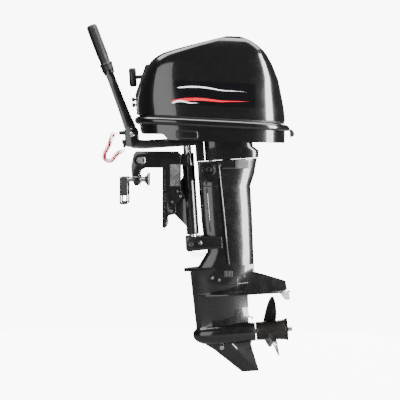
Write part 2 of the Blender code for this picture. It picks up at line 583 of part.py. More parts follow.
seam_t = 0.005
piece("cowl_seal", oval_loft([oval(0.004, COWL_LENGTH - 0.004, COWL_HALF_W - 0.004, lambda x: seam_z(x) - seam_t, 3.4, 36),
                         oval(0.004, COWL_LENGTH - 0.004, COWL_HALF_W - 0.004, lambda x: seam_z(x) - FIT, 3.4, 36)]), RUBBER)
cut(bpy.data.objects["cowl_seal"],
    oval_loft([oval(0.016, COWL_LENGTH - 0.016, COWL_HALF_W - 0.016, z, 3.4, 36) for z in (0, 0.2)]))


def pan_bottom(x):
    return between(x, ((0.0, 0.100), (0.012, 0.080), (0.075, 0.076), (0.090, 0.056), (0.200, 0.043), (0.400, 0.026),
                       (0.446, 0.022), (0.5, 0.022)))


def pan_rings(shrink, low, high):
    rings = [oval(0.006 + shrink, COWL_LENGTH - 0.006 - shrink, COWL_HALF_W - 0.008 - shrink, low, 3.4, 36),
             oval(0.005 + shrink, COWL_LENGTH - 0.004 - shrink, COWL_HALF_W - 0.005 - shrink,
                  lambda x: seam_z(x) - seam_t - BAND_H, 3.4, 36)]
    if shrink:
        return rings + [oval(0.010, COWL_LENGTH - 0.010, COWL_HALF_W - 0.010, high, 3.4, 36)]
    return rings + [
        oval(-0.008, COWL_LENGTH + 0.010, COWL_HALF_W + 0.007, lambda x: seam_z(x) - seam_t - BAND_H + 0.004, 3.4, 36),
        oval(-0.009, COWL_LENGTH + 0.012, COWL_HALF_W + 0.008, lambda x: seam_z(x) - seam_t - 0.008, 3.4, 36),
        oval(-0.002, COWL_LENGTH + 0.003, COWL_HALF_W + 0.001, high, 3.4, 36)]


pan = piece("lower_cowl", oval_loft(pan_rings(0, pan_bottom, lambda x: seam_z(x) - seam_t - FIT)), DARK_PAINT)
cut(pan, oval_loft(pan_rings(0.003, lambda x: max(pan_bottom(x) + 0.003, PAN_FLOOR_Z if x < 0.21 else 0),
                        lambda x: seam_z(x) + 0.05)),
    box((-0.05, -0.040, -0.1), (0.205, 0.040, PAN_FLOOR_Z - 0.003)),
    box((0.195, -0.046, -0.1), (0.350, 0.046, 0.1)),
    box((CRANK_X - 0.047, -0.052, 0.060), (0.332, 0.052, 0.2)))

base_top = 0.062
base = piece("engine_base", oval_loft([
    oval(0.1975, 0.362, 0.036, LEG_TOP + FIT, 4, 24), oval(0.1975, 0.364, 0.038, LEG_TOP + 0.022, 4, 24),
    oval(0.1975, 0.347, 0.043, 0.020, 4, 24), oval(0.1975, 0.347, 0.043, base_top, 4, 24)]), DARK_PAINT)
cut(base, rod(SHAFT_R + 0.003, (CRANK_X, 0, -0.1), (CRANK_X, 0, 0.1), 20))


def panel_x(z):
    """The front panel's face: upright, then leaning aft."""
    return -0.001 + max(z - 0.2, 0) * 0.42


front_panel = piece("front_panel", loft([[(x + panel_x(z) + 0.001, y, z) for x, y in (
    (-0.001, -panel_half), (0.009, -panel_half), (0.009, panel_half), (-0.001, panel_half))]
    for z in (seam_z(0) + FIT, 0.2, panel_top - 0.004)]), PLASTIC)
rope_r = 0.0025
handle_x = -0.009
cut(front_panel, rod(rope_r + 0.001, (-0.1, STARTER_Y - 0.012, STARTER_Z), (0.2, STARTER_Y - 0.012, STARTER_Z), 12))
knob_y, knob_z = -0.022, (0.186, 0.169)
for z in knob_z:
    cut(front_panel, rod(0.003 + RUN, (-0.1, knob_y, z), (0.2, knob_y, z), 12))

latch_x, latch_z = COWL_LENGTH + 0.0165, 0.052
piece("cowl_latch", side_plate([(latch_x - 0.004, latch_z - 0.012), (latch_x + 0.004, latch_z - 0.012),
                                (latch_x + 0.008, latch_z - 0.004), (latch_x + 0.006, latch_z + 0.004),
                                (latch_x - 0.001, latch_z + 0.012), (latch_x - 0.004, latch_z + 0.012)],
                               -0.022, 0.022), PLASTIC, frame, (latch_x, 0, latch_z - 0.008))


# --- Engine --------------------------------------------------------------------------------------

block = piece("engine_block", box((CRANK_X - 0.045, -0.050, base_top + FIT), (0.300, 0.050, fly_low - 0.024)), ALUMINIUM)
cut(block, rod(0.0125, (CRANK_X, 0, 0), (CRANK_X, 0, 0.3), 20))
piece("cylinder_head", box((0.300 + FIT, -0.046, base_top + 0.008), (0.330, 0.046, fly_low - 0.030)), ALUMINIUM)
for spark_name, z in (("upper_spark_plug", 0.148), ("lower_spark_plug", 0.094)):
    plug = piece(spark_name, turned([(0, 0), (0.0105, 0), (0.0105, 0.012), (0.006, 0.014), (0.0055, 0.045), (0, 0.045)],
                                    "X", (0.330 + FIT, 0, z), 16), WHITE_CERAMIC)
carb = piece("carburettor", box((0.085, -0.040, 0.095), (CRANK_X - 0.045 - FIT, 0.012, 0.150)), ALUMINIUM)
join(carb, rod(0.018, (0.062, -0.014, 0.125), (0.090, -0.014, 0.125), 20))
piece("ignition_coil", box((0.250, 0.050 + FIT, 0.100), (0.292, 0.078, 0.140)), PLASTIC)
starter_low = fly_low + 0.030
housing = piece("starter_housing", turned([(0.066, 0), (0.070, 0), (0.070, 0.040), (0.058, 0.046), (0, 0.046), (0, 0.042),
                                           (0.055, 0.042), (0.066, 0.038), (0.066, 0)], "Z", (CRANK_X, 0, starter_low), 32),
                GREY_PAINT)
cut(housing, box((0.1, STARTER_Y - 0.020, starter_low + 0.014), (CRANK_X, STARTER_Y + 0.03, starter_low + 0.030)))
pulley_r = STARTER_Y - 0.012
piece("starter_pulley", turned([(0, 0), (pulley_r + 0.006, 0), (pulley_r, 0.005), (pulley_r, 0.011), (pulley_r + 0.006, 0.016),
                                (0, 0.016)], "Z", (CRANK_X, 0, starter_low + 0.012), 28), PLASTIC, frame, turn_point)


# --- Controls ------------------------------------------------------------------------------------

rope_y = STARTER_Y - 0.012
rope_end = CRANK_X - 0.0705 - FIT
grip_half = 0.0285
grip_shape = oval_loft([oval(handle_x - 0.0115 * w, handle_x + 0.0115 * w, 0.013 * w, STARTER_Z + grip_half * h, 2.6, 20)
                        for w, h in ((0.75, -1), (1, -0.8), (1, 0.8), (0.75, 1))])
bmesh.ops.translate(grip_shape, vec=(0, rope_y, 0), verts=grip_shape.verts)
starter = piece("starter_handle", grip_shape, PLASTIC, frame, (handle_x, rope_y, STARTER_Z))
join(starter, rod(0.006, (handle_x, rope_y, STARTER_Z), (panel_x(STARTER_Z) - 0.0035, rope_y, STARTER_Z), 12),
     rod(rope_r, (handle_x, rope_y, STARTER_Z), (rope_end, rope_y, STARTER_Z), 12))
for (name, reach), z in zip((("choke_knob", 0.014), ("idle_knob", 0.014)), knob_z):
    knob = piece(name, turned([(0, -reach), (0.0065, -reach), (0.0065, -0.005), (0.003, -0.005), (0.003, 0.028), (0, 0.028)],
                              "X", (0, knob_y, z), 16), PLASTIC, frame, (0, knob_y, z))

lever_x, lever_z = 0.150, 0.086
lever_y = COWL_HALF_W - 0.001
lever = piece("shift_lever", side_plate([(lever_x - 0.010, lever_z - 0.010), (lever_x + 0.010, lever_z - 0.010),
                                         (lever_x + 0.006, lever_z + 0.012), (lever_x + 0.004, lever_z + 0.046),
                                         (lever_x - 0.004, lever_z + 0.046), (lever_x - 0.006, lever_z + 0.012)],
                                        lever_y + 0.010, lever_y + 0.016), PLASTIC, frame, (lever_x, 0, lever_z))
join(lever, rod(0.005, (lever_x, 0.110, lever_z), (lever_x, lever_y + 0.012, lever_z), 16),
     rod(0.008, (lever_x, lever_y + 0.010, lever_z + 0.042), (lever_x, lever_y + 0.026, lever_z + 0.042), 16))
cut(pan, rod(0.005 + RUN, (lever_x, 0.10, lever_z), (lever_x, 0.20, lever_z), 16))
shift_x = CRANK_X - 0.046
piece("shift_rod", rod(0.003, (shift_x, 0, PROP_Z + 0.045), (shift_x, 0, case_top - 0.012), 12), STEEL, frame,
      (shift_x, 0, PROP_Z))

tiller_dir = Vector((-math.sin(TILLER_LEAN), 0, math.cos(TILLER_LEAN)))
tiller_side = Vector((math.cos(TILLER_LEAN), 0, math.sin(TILLER_LEAN)))
pivot = Vector((TILLER_X, 0, TILLER_Z))


def along_tiller(length, across, half_w):
    return [tuple(pivot + tiller_dir * length + tiller_side * x + Vector((0, y, 0)))
            for x, y in ((across, -half_w), (across, half_w), (-across, half_w), (-across, -half_w))]


tiller = piece("tiller_arm", loft([along_tiller(-0.014, 0.015, 0.0212), along_tiller(0.020, 0.0165, 0.0212),
                                   along_tiller(0.060, 0.0145, 0.019), along_tiller(0.150, 0.0125, 0.0165),
                                   along_tiller(TILLER_LENGTH - 0.012, 0.0125, 0.0155)]), DARK_PAINT, frame, pivot)
join(tiller,
     rod(0.017, pivot + tiller_dir * (TILLER_LENGTH - 0.013), pivot + tiller_dir * (TILLER_LENGTH - 0.004)),
     rod(0.008, pivot + tiller_dir * (TILLER_LENGTH - 0.006), pivot + tiller_dir * (TILLER_LENGTH + 0.090)),
     rod(0.0042, pivot + Vector((0, -0.036, 0)), pivot + Vector((0, 0.036, 0)), 14),
     rod(0.009, pivot + Vector((0, -0.0365, 0)), pivot + Vector((0, -0.0306, 0)), 14))
grip_start, grip_end = TILLER_LENGTH - 0.004 + FIT, TILLER_LENGTH + GRIP_LENGTH
grip_bm = turned([(0.008 + RUN, 0), (GRIP_R + 0.002, 0), (GRIP_R + 0.002, 0.022), (GRIP_R - 0.001, 0.026),
                  (GRIP_R - 0.001, 0.040), (GRIP_R, 0.046), (GRIP_R, grip_end - grip_start - 0.006),
                  (GRIP_R - 0.004, grip_end - grip_start), (0, grip_end - grip_start), (0, 0.100), (0.008 + RUN, 0.100),
                  (0.008 + RUN, 0)], steps=24)
bmesh.ops.transform(grip_bm, matrix=Matrix.Translation(pivot + tiller_dir * grip_start)
                    @ tiller_dir.to_track_quat("Z", "Y").to_matrix().to_4x4(), verts=grip_bm.verts)
piece("throttle_grip", grip_bm, RUBBER, frame, pivot + tiller_dir * grip_start)

switch_y0, switch_y1, switch_front = 0.0303, 0.052, -0.046
switch = piece("stop_switch", box((switch_front, switch_y0, 0.046), (-0.004, switch_y1, 0.096)), PLASTIC)
cut(switch, rod(0.0062 + RUN, (switch_front - 0.02, 0.041, 0.060), (switch_front + 0.012, 0.041, 0.060), 16),
    rod(0.0048, (TILLER_X, -0.1, TILLER_Z), (TILLER_X, 0.0385, TILLER_Z), 14))
button = piece("stop_button", turned([(0, 0), (0.0062, 0), (0.0062, 0.017), (0, 0.017)], "X",
                                     (switch_front - 0.010, 0.041, 0.060), 16), RED, frame, (switch_front, 0.041, 0.060))


# --- Safety lanyard ------------------------------------------------------------------------------

clip = piece("lanyard_clip", box((switch_front - 0.0075, 0.0315, 0.042), (switch_front - FIT, 0.0505, 0.066)), PLASTIC)
cut(clip, rod(0.0070, (-0.2, 0.041, 0.060), (0.2, 0.041, 0.060), 16))
hook_at = (switch_front - 0.010, 0.041, 0.088)
piece("lanyard_hook", rod(0.0065, (switch_front - FIT, 0.041, 0.088), (switch_front - 0.018, 0.041, 0.088), 16, 0.0055), PLASTIC)

# The cord's middle line: out of the clip, forward and down in a loose loop, and back up to the hook
route = [(-0.0504, 0.041, 0.0396), (-0.0514, 0.0405, 0.036), (-0.0579, 0.036, 0.0329),
         (-0.0682, 0.034, 0.0291), (-0.0777, 0.034, 0.0222), (-0.0828, 0.034, 0.0135),
         (-0.0888, 0.034, 0.0064), (-0.1, 0.034, 0.0031), (-0.1107, 0.034, 0.0079),
         (-0.1145, 0.034, 0.0186), (-0.1107, 0.034, 0.0314), (-0.1029, 0.034, 0.0429),
         (-0.0956, 0.034, 0.0545), (-0.0907, 0.0345, 0.0672), (-0.086, 0.036, 0.0789),
         (-0.079, 0.039, 0.0868), (-0.0668, 0.041, 0.0888)]
route = [Vector(p) for p in route]
cord_points = []
for i in range(len(route) - 1):
    before, here, there, after = route[max(i - 1, 0)], route[i], route[i + 1], route[min(i + 2, len(route) - 1)]
    for k in range(2):
        t = k / 2
        cord_points.append(0.5 * (2 * here + (there - before) * t + (2 * before - 5 * here + 4 * there - after) * t * t
                                  + (3 * here - before - 3 * there + after) * t ** 3))
cord_points.append(route[-1])
coil_r = 0.0075
curve = bpy.data.curves.new("lanyard_cord", "CURVE")
curve.dimensions = "3D"
spline = curve.splines.new("POLY")
spline.points.add(len(cord_points) - 1)
for point, place_at in zip(spline.points, cord_points):
    point.co = (*place_at, 1)
curve.bevel_depth = coil_r
curve.bevel_resolution = 2
curve.use_fill_caps = True
cord = bpy.data.objects.new("lanyard_cord", curve)
bpy.context.scene.collection.objects.link(cord)
curve.materials.append(finish(RED))
cord.parent = frame
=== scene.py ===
"""Looks of a small outboard motor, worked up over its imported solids. Metres, +Z up, +X aft, +Y starboard."""

import json
import math

import bmesh
import bpy
from mathutils import Matrix, Vector
from mathutils.bvhtree import BVHTree

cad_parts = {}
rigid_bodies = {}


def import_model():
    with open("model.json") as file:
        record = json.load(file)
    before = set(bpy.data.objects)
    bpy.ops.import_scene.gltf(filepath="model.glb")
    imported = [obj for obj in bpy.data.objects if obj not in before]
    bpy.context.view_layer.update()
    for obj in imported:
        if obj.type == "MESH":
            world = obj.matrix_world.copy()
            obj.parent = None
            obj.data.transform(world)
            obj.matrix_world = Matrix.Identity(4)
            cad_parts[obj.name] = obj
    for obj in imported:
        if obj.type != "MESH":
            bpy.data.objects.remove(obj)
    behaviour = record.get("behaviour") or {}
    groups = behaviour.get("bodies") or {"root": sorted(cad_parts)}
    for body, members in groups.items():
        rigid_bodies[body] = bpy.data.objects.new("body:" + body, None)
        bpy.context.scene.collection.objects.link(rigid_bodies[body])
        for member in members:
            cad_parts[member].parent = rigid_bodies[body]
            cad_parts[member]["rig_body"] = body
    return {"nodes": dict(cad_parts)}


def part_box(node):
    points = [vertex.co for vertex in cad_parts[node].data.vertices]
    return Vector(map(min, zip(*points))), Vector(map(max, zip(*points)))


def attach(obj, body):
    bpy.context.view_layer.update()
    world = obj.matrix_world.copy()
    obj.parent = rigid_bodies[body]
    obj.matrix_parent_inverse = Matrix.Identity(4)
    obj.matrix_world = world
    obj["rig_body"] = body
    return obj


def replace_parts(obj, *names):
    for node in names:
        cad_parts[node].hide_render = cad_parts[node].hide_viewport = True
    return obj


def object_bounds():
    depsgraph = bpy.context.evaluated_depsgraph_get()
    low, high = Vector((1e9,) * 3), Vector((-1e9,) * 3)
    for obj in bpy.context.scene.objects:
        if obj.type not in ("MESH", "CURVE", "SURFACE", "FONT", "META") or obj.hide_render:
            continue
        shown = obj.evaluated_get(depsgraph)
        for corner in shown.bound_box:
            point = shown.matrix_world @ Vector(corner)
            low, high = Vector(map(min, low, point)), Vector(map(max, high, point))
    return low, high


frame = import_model()
cad_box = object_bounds()
nodes = frame["nodes"]


# --- Studio --------------------------------------------------------------------------------------
# A pale floor below the skeg, a long lens almost square on to the port side, and soft lights: one
# overhead, a tall strip aft, a broad dim panel forward, and a fill for the far side. The floor and
# the air behind look near white but light little, so that the paint stays dark between highlights.

floor_drop, floor_radius = 0.06, 1.5
view_centre = Vector((0.114, 0, -0.100))
view_width, view_distance, view_rise = 1.232, 4.2, math.radians(2.2)
white_seen, floor_glow, air_glow = 9.0, 0.03, 0.10


def link(name, data):
    obj = bpy.data.objects.new(name, data)
    bpy.context.scene.collection.objects.link(obj)
    return obj


floor_finish = bpy.data.materials.new("pale floor")
floor_finish.use_nodes = True
tree = floor_finish.node_tree
shader = tree.nodes["Principled BSDF"]
shader.inputs["Base Color"].default_value = (0.16, 0.16, 0.16, 1)
shader.inputs["Roughness"].default_value = 0.8
shader.inputs["Emission Color"].default_value = (1, 1, 1, 1)
rays = tree.nodes.new("ShaderNodeLightPath")
glow = tree.nodes.new("ShaderNodeMapRange")
glow.inputs["To Min"].default_value, glow.inputs["To Max"].default_value = floor_glow, white_seen
tree.links.new(rays.outputs["Is Camera Ray"], glow.inputs["Value"])
tree.links.new(glow.outputs["Result"], shader.inputs["Emission Strength"])

bm = bmesh.new()
bmesh.ops.create_circle(bm, cap_ends=True, segments=64, radius=floor_radius)
floor_mesh = bpy.data.meshes.new("studio_floor")
bm.to_mesh(floor_mesh)
bm.free()
floor_mesh.materials.append(floor_finish)
floor = link("studio_floor", floor_mesh)
floor.location = (0, 0, cad_box[0][2] - floor_drop)

camera_data = bpy.data.cameras.new("camera")
camera_data.lens = camera_data.sensor_width * view_distance / view_width
camera = link("camera", camera_data)
camera.location = view_centre + Vector((0, -math.cos(view_rise), math.sin(view_rise))) * view_distance
camera.rotation_euler = (view_centre - camera.location).to_track_quat("-Z", "Y").to_euler()
bpy.context.scene.camera = camera

for name, place, size, power in (("overhead", (0.1, -0.1, 2.3), (4.2, 2.0), 230),
                                 ("aft_strip", (1.9, -1.25, 0.1), (0.75, 2.6), 250),
                                 ("forward_panel", (-1.5, -2.6, 0.2), (2.0, 2.4), 45),
                                 ("starboard_panel", (0.9, 2.6, 0.6), (1.2, 2.4), 120)):
    lamp = bpy.data.lights.new(name, "AREA")
    lamp.shape = "RECTANGLE"
    lamp.size, lamp.size_y = size
    lamp.energy = power
    light = link(name, lamp)
    light.location = place
    light.rotation_euler = (view_centre - light.location).to_track_quat("-Z", "Y").to_euler()

world = bpy.data.worlds.new("studio")
bpy.context.scene.world = world
world.use_nodes = True
tree = world.node_tree
rays = tree.nodes.new("ShaderNodeLightPath")
blend = tree.nodes.new("ShaderNodeMix")
blend.data_type = "RGBA"
blend.inputs[6].default_value = (air_glow, air_glow, air_glow * 1.03, 1)
blend.inputs[7].default_value = (white_seen, white_seen, white_seen, 1)
tree.links.new(rays.outputs["Is Camera Ray"], blend.inputs["Factor"])
tree.links.new(blend.outputs[2], tree.nodes["Background"].inputs["Color"])


# --- Safety lanyard ------------------------------------------------------------------------------
# A springy cord of red plastic that runs from its clip behind the stop button round to its own hook.
# It is moulded in tight turns along its whole length, and runs out straight into both fittings.

def node(group, kind, links=(), **settings):
    """A shader node with its settings, and each of its inputs linked or given a value."""
    made = group.nodes.new(kind)
    for key, value in settings.items():
        setattr(made, key, value)
    for socket, source in links:
        if hasattr(source, "links"):
            group.links.new(source, made.inputs[socket])
        else:
            made.inputs[socket].default_value = source
    return made


# The one effect that every finish uses: fine specks lighten the colour, broad clouds darken it, and
# smudges vary the gloss. It puts out the specks as a height too.
grain = bpy.data.node_groups.new("surface grain", "ShaderNodeTree")
for socket, kind, value in (
        ("Color", "NodeSocketColor", (0.1, 0.1, 0.1, 1)),
        ("Speck color", "NodeSocketColor", (0.3, 0.3, 0.3, 1)),
        ("Cloud color", "NodeSocketColor", (0.02, 0.02, 0.02, 1)), ("Grain scale", "NodeSocketFloat", 900.0),
        ("Speck share", "NodeSocketFloat", 0.3), ("Cloud share", "NodeSocketFloat", 0.2),
        ("Roughness", "NodeSocketFloat", 0.3), ("Worn roughness", "NodeSocketFloat", 0.4)):
    grain.interface.new_socket(socket, in_out="INPUT", socket_type=kind).default_value = value
for socket, kind in (("Color", "NodeSocketColor"), ("Roughness", "NodeSocketFloat"),
                     ("Height", "NodeSocketFloat")):
    grain.interface.new_socket(socket, in_out="OUTPUT", socket_type=kind)
given = grain.nodes.new("NodeGroupInput").outputs
put_out = grain.nodes.new("NodeGroupOutput").inputs
place = node(grain, "ShaderNodeTexCoord").outputs["Object"]
specks = node(grain, "ShaderNodeTexNoise",
              [("Vector", place), ("Scale", given["Grain scale"]), ("Detail", 2.0)])
clouds = node(grain, "ShaderNodeTexNoise", [("Vector", place), ("Scale", 14.0), ("Detail", 4.0),
                                            ("Roughness", 0.6)])
smudges = node(grain, "ShaderNodeTexNoise", [("Vector", place), ("Scale", 38.0), ("Detail", 5.0),
                                             ("Distortion", 0.6)])
speck_mask = node(grain, "ShaderNodeMapRange", [("Value", specks.outputs["Fac"]), ("From Min", 0.52),
                                                ("From Max", 0.74)])
speck_share = node(grain, "ShaderNodeMath", [(0, speck_mask.outputs["Result"]), (1, given["Speck share"])],
                   operation="MULTIPLY")
lit = node(grain, "ShaderNodeMix", [(0, speck_share.outputs[0]), (6, given["Color"]),
                                    (7, given["Speck color"])], data_type="RGBA")
cloud_mask = node(grain, "ShaderNodeMapRange", [("Value", clouds.outputs["Fac"]), ("From Min", 0.45),
                                                ("From Max", 0.85)])
cloud_share = node(grain, "ShaderNodeMath", [(0, cloud_mask.outputs["Result"]), (1, given["Cloud share"])],
                   operation="MULTIPLY")
shaded = node(grain, "ShaderNodeMix", [(0, cloud_share.outputs[0]), (6, lit.outputs[2]),
                                       (7, given["Cloud color"])], data_type="RGBA")
gloss = node(grain, "ShaderNodeMapRange", [("Value", smudges.outputs["Fac"]), ("From Min", 0.35),
                                           ("From Max", 0.8), ("To Min", given["Roughness"]),
                                           ("To Max", given["Worn roughness"])])
grain.links.new(shaded.outputs[2], put_out["Color"])
grain.links.new(gloss.outputs["Result"], put_out["Roughness"])
grain.links.new(specks.outputs["Fac"], put_out["Height"])


def material(name, colour, speck, cloud, scale, speck_share, cloud_share, rough, worn, metallic, coat,
             bump, strength):
    """A finish: its colours, the grain's scale and shares, both roughnesses, and its relief."""
    made = bpy.data.materials.new(name)
    made.use_nodes = True
    tree = made.node_tree
    shader = tree.nodes["Principled BSDF"]
    surface = node(tree, "ShaderNodeGroup", node_tree=grain)
    for socket, value in (("Color", (*colour, 1)), ("Speck color", (*speck, 1)),
                          ("Cloud color", (*cloud, 1)), ("Grain scale", scale),
                          ("Speck share", speck_share), ("Cloud share", cloud_share),
                          ("Roughness", rough), ("Worn roughness", worn)):
        surface.inputs[socket].default_value = value
    tree.links.new(surface.outputs["Color"], shader.inputs["Base Color"])
    tree.links.new(surface.outputs["Roughness"], shader.inputs["Roughness"])
    relief = node(tree, "ShaderNodeBump", [("Height", surface.outputs["Height"]), ("Distance", bump),
                                           ("Strength", strength)])
    tree.links.new(relief.outputs["Normal"], shader.inputs["Normal"])
    shader.inputs["Metallic"].default_value = metallic
    shader.inputs["Coat Weight"].default_value = coat
    shader.inputs["Coat Roughness"].default_value = 0.04
    return made


red_plastic = material("red plastic", (0.78, 0.001, 0.014), (0.85, 0.006, 0.02), (0.60, 0.001, 0.008),
                       1200, 0.25, 0.3, 0.3, 0.42, 0.0, 0.15, 0.00004, 0.15)

# All that tilts stands in the motor's own frame, leaning by the trim about the tilt bolt
tilt_axis, trim = Vector((-0.068, 0, 0.023)), math.radians(3.8)
in_motor = Matrix.Translation(tilt_axis) @ Matrix.Rotation(-trim, 4, "Y")
cord_r, turn_r, turn_pitch, turn_points = 0.0011, 0.0063, 0.0037, 18
plain_turns, easing_turns, settling = 0.4, 4.0, 30
lanyard_route = [(-0.0504, 0.041, 0.0396), (-0.0512, 0.0402, 0.0352), (-0.0560, 0.0375, 0.0312),
                 (-0.0660, 0.0345, 0.0282), (-0.0777, 0.034, 0.0222), (-0.0828, 0.034, 0.0135),
                 (-0.0888, 0.034, 0.0064), (-0.1, 0.034, 0.0031), (-0.1107, 0.034, 0.0079),
                 (-0.1145, 0.034, 0.0186), (-0.1107, 0.034, 0.0314), (-0.1029, 0.034, 0.0429),
                 (-0.0956, 0.034, 0.0545), (-0.0907, 0.0345, 0.0672), (-0.086, 0.036, 0.0789),
                 (-0.079, 0.039, 0.0868), (-0.0668, 0.041, 0.0888)]


def rounded(points, steps):
    """A smooth curve through the points, with the given steps from each to the next."""
    points = [Vector(p) for p in points]
    found = []
    for i in range(len(points) - 1):
        a, b, c, d = points[max(i - 1, 0)], points[i], points[i + 1], points[min(i + 2, len(points) - 1)]
        for k in range(steps):
            t = k / steps
            found.append(0.5 * (2 * b + (c - a) * t + (2 * a - 5 * b + 4 * c - d) * t * t
                                + (3 * b - a - 3 * c + d) * t ** 3))
    return found + [points[-1]]


def evenly(points, step):
    """The same line with points a step apart."""
    lengths = [0.0]
    for a, b in zip(points, points[1:]):
        lengths.append(lengths[-1] + (b - a).length)
    count = max(2, round(lengths[-1] / step))
    found, i = [], 0
    for k in range(count + 1):
        s = lengths[-1] * k / count
        while i < len(points) - 2 and lengths[i + 1] < s:
            i += 1
        share = (s - lengths[i]) / max(lengths[i + 1] - lengths[i], 1e-9)
        found.append(points[i].lerp(points[i + 1], share))
    return found


lanyard_line = [in_motor @ p for p in evenly(rounded(lanyard_route, 24), turn_pitch / turn_points)]
wound, slack, across, turn = [], [], Vector((0, 1, 0)), 0.0
for i, here in enumerate(lanyard_line):
    along = (lanyard_line[min(i + 1, len(lanyard_line) - 1)] - lanyard_line[max(i - 1, 0)]).normalized()
    across = (across - along * along.dot(across)).normalized()
    turns_in = min(i, len(lanyard_line) - 1 - i) / turn_points
    ease = min(1.0, max(0.0, (turns_in - plain_turns) / easing_turns))
    ease = ease * ease * (3 - 2 * ease)
    turn += math.tau / turn_points * ease ** 3
    wound.append(here + (across * math.cos(turn) + along.cross(across) * math.sin(turn)) * turn_r * ease)
    slack.append((1 - ease) ** 0.5 / 2)
for _ in range(settling):
    wound = [wound[0]] + [here.lerp((before + after) / 2, give) for before, here, after, give
                          in zip(wound, wound[1:], wound[2:], slack[1:])] + [wound[-1]]

curve = bpy.data.curves.new("lanyard_coil", "CURVE")
curve.dimensions = "3D"
spline = curve.splines.new("POLY")
spline.points.add(len(wound) - 1)
for point, place in zip(spline.points, wound):
    point.co = (*place, 1)
curve.bevel_depth = cord_r
curve.bevel_resolution = 2
curve.use_fill_caps = True
curve.materials.append(red_plastic)
lanyard = link("lanyard_coil", curve)
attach(lanyard, "motor")
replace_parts(lanyard, "lanyard_cord")


# --- Stop button ---------------------------------------------------------------------------------
# The round red button that the lanyard's clip holds out. It is moulded in the same red plastic and
# pushes in against a spring.

def dress(finish, *names):
    """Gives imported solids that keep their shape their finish."""
    for name in names:
        mesh = nodes[name].data
        mesh.materials.clear()
        mesh.materials.append(finish)


dress(red_plastic, "stop_button")


# --- Top cowl ------------------------------------------------------------------------------------
# A moulded glass-fibre cover in glossy metallic charcoal, with flat flanks, a soft shoulder and an
# almost flat roof that climbs aft. It is one thin skin, open below and notched for the front panel.

charcoal_gloss = material("charcoal metallic gloss", (0.0035, 0.0035, 0.0034), (0.05, 0.05, 0.048),
                          (0.002, 0.002, 0.002), 2600, 0.30, 0.25, 0.20, 0.28, 0.40, 1.0, 0.00002, 0.05)

cowl_length, cowl_half_w, cowl_height, cowl_wall = 0.451, 0.142, 0.250, 0.003
cowl_front, cowl_rise = 0.139, 0.053
# Height above the seam, front end, rear end and half width, each as a share of the cowl's own
cowl_shape = ((0.0, 0.000, 1.000, 1.00), (0.18, 0.002, 0.996, 1.00), (0.36, 0.030, 0.982, 0.985),
              (0.51, 0.065, 0.968, 0.96), (0.63, 0.108, 0.945, 0.94), (0.70, 0.148, 0.930, 0.92),
              (0.76, 0.205, 0.912, 0.90), (0.83, 0.315, 0.890, 0.87), (0.90, 0.445, 0.850, 0.83),
              (0.96, 0.555, 0.800, 0.77), (1.0, 0.630, 0.745, 0.64))
crown_shape = ((1.003, 0.640, 0.737, 0.58), (1.005, 0.655, 0.725, 0.50))
flank_square, crown_square = 3.4, 7.9  # how square the cowl is in plan at its foot and on its roof
panel_notch = ((-0.05, -0.051, 0), (0.052, 0.051, 0.293))


def seam_z(x):
    """The height of the seam between the cowls, which falls aft."""
    return cowl_front - cowl_rise * x / cowl_length


def own(name, bm, finish, body, crease=35):
    """A new piece from a bmesh, smooth up to the crease angle, with its finish, riding on a body."""
    bmesh.ops.recalc_face_normals(bm, faces=bm.faces)
    mesh = bpy.data.meshes.new(name)
    bm.to_mesh(mesh)
    bm.free()
    mesh.shade_smooth()
    mesh.set_sharp_from_angle(angle=math.radians(crease))
    mesh.materials.append(finish)
    obj = link(name, mesh)
    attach(obj, body)
    return obj


def oval(bm, x_front, x_rear, half_w, z, power=flank_square, count=96):
    """A ring of vertices in plan, between an ellipse and a rectangle. z is a function of x."""
    centre, half = (x_front + x_rear) / 2, (x_rear - x_front) / 2
    ring = []
    for i in range(count):
        c, s = math.cos(math.tau * i / count), math.sin(math.tau * i / count)
        x = centre + half * math.copysign(abs(c) ** (2 / power), c)
        y = half_w * math.copysign(abs(s) ** (2 / power), s)
        ring.append(bm.verts.new(in_motor @ Vector((x, y, z(x)))))
    return ring


def bridge(bm, rings):
    """Faces between each ring and the next."""
    for a, b in zip(rings, rings[1:]):
        for i in range(len(a)):
            j = (i + 1) % len(a)
            bm.faces.new((a[i], a[j], b[j], b[i]))


def strip_cap(bm, ring):
    """Closes a ring that rises along X with strips from side to side."""
    count = len(ring)
    for i in range(count // 2):
        corners = (ring[i], ring[i + 1], ring[count - 1 - i], ring[(count - i) % count])
        bm.faces.new(list(dict.fromkeys(corners)))


def cut_boxes(piece, crease, *boxes):
    """Cuts boxes, each given by two corners in the motor's own frame, out of a piece."""
    for low, high in boxes:
        low, high = Vector(low), Vector(high)
        bm = bmesh.new()
        bmesh.ops.create_cube(bm, size=1)
        place = in_motor @ Matrix.Translation((low + high) / 2) @ Matrix.Diagonal((*(high - low), 1))
        bmesh.ops.transform(bm, matrix=place, verts=bm.verts)
        bmesh.ops.recalc_face_normals(bm, faces=bm.faces)
        mesh = bpy.data.meshes.new("cutter")
        bm.to_mesh(mesh)
        bm.free()
        cutter = link("cutter", mesh)
        change = piece.modifiers.new("cut", "BOOLEAN")
        change.operation, change.object, change.solver = "DIFFERENCE", cutter, "EXACT"
        bpy.context.view_layer.update()
        graph = bpy.context.evaluated_depsgraph_get()
        made = bpy.data.meshes.new_from_object(piece.evaluated_get(graph))
        piece.modifiers.clear()
        piece.data = made
        bpy.data.objects.remove(cutter)
        bpy.data.meshes.remove(mesh)
    piece.data.shade_smooth()
    piece.data.set_sharp_from_angle(angle=math.radians(crease))


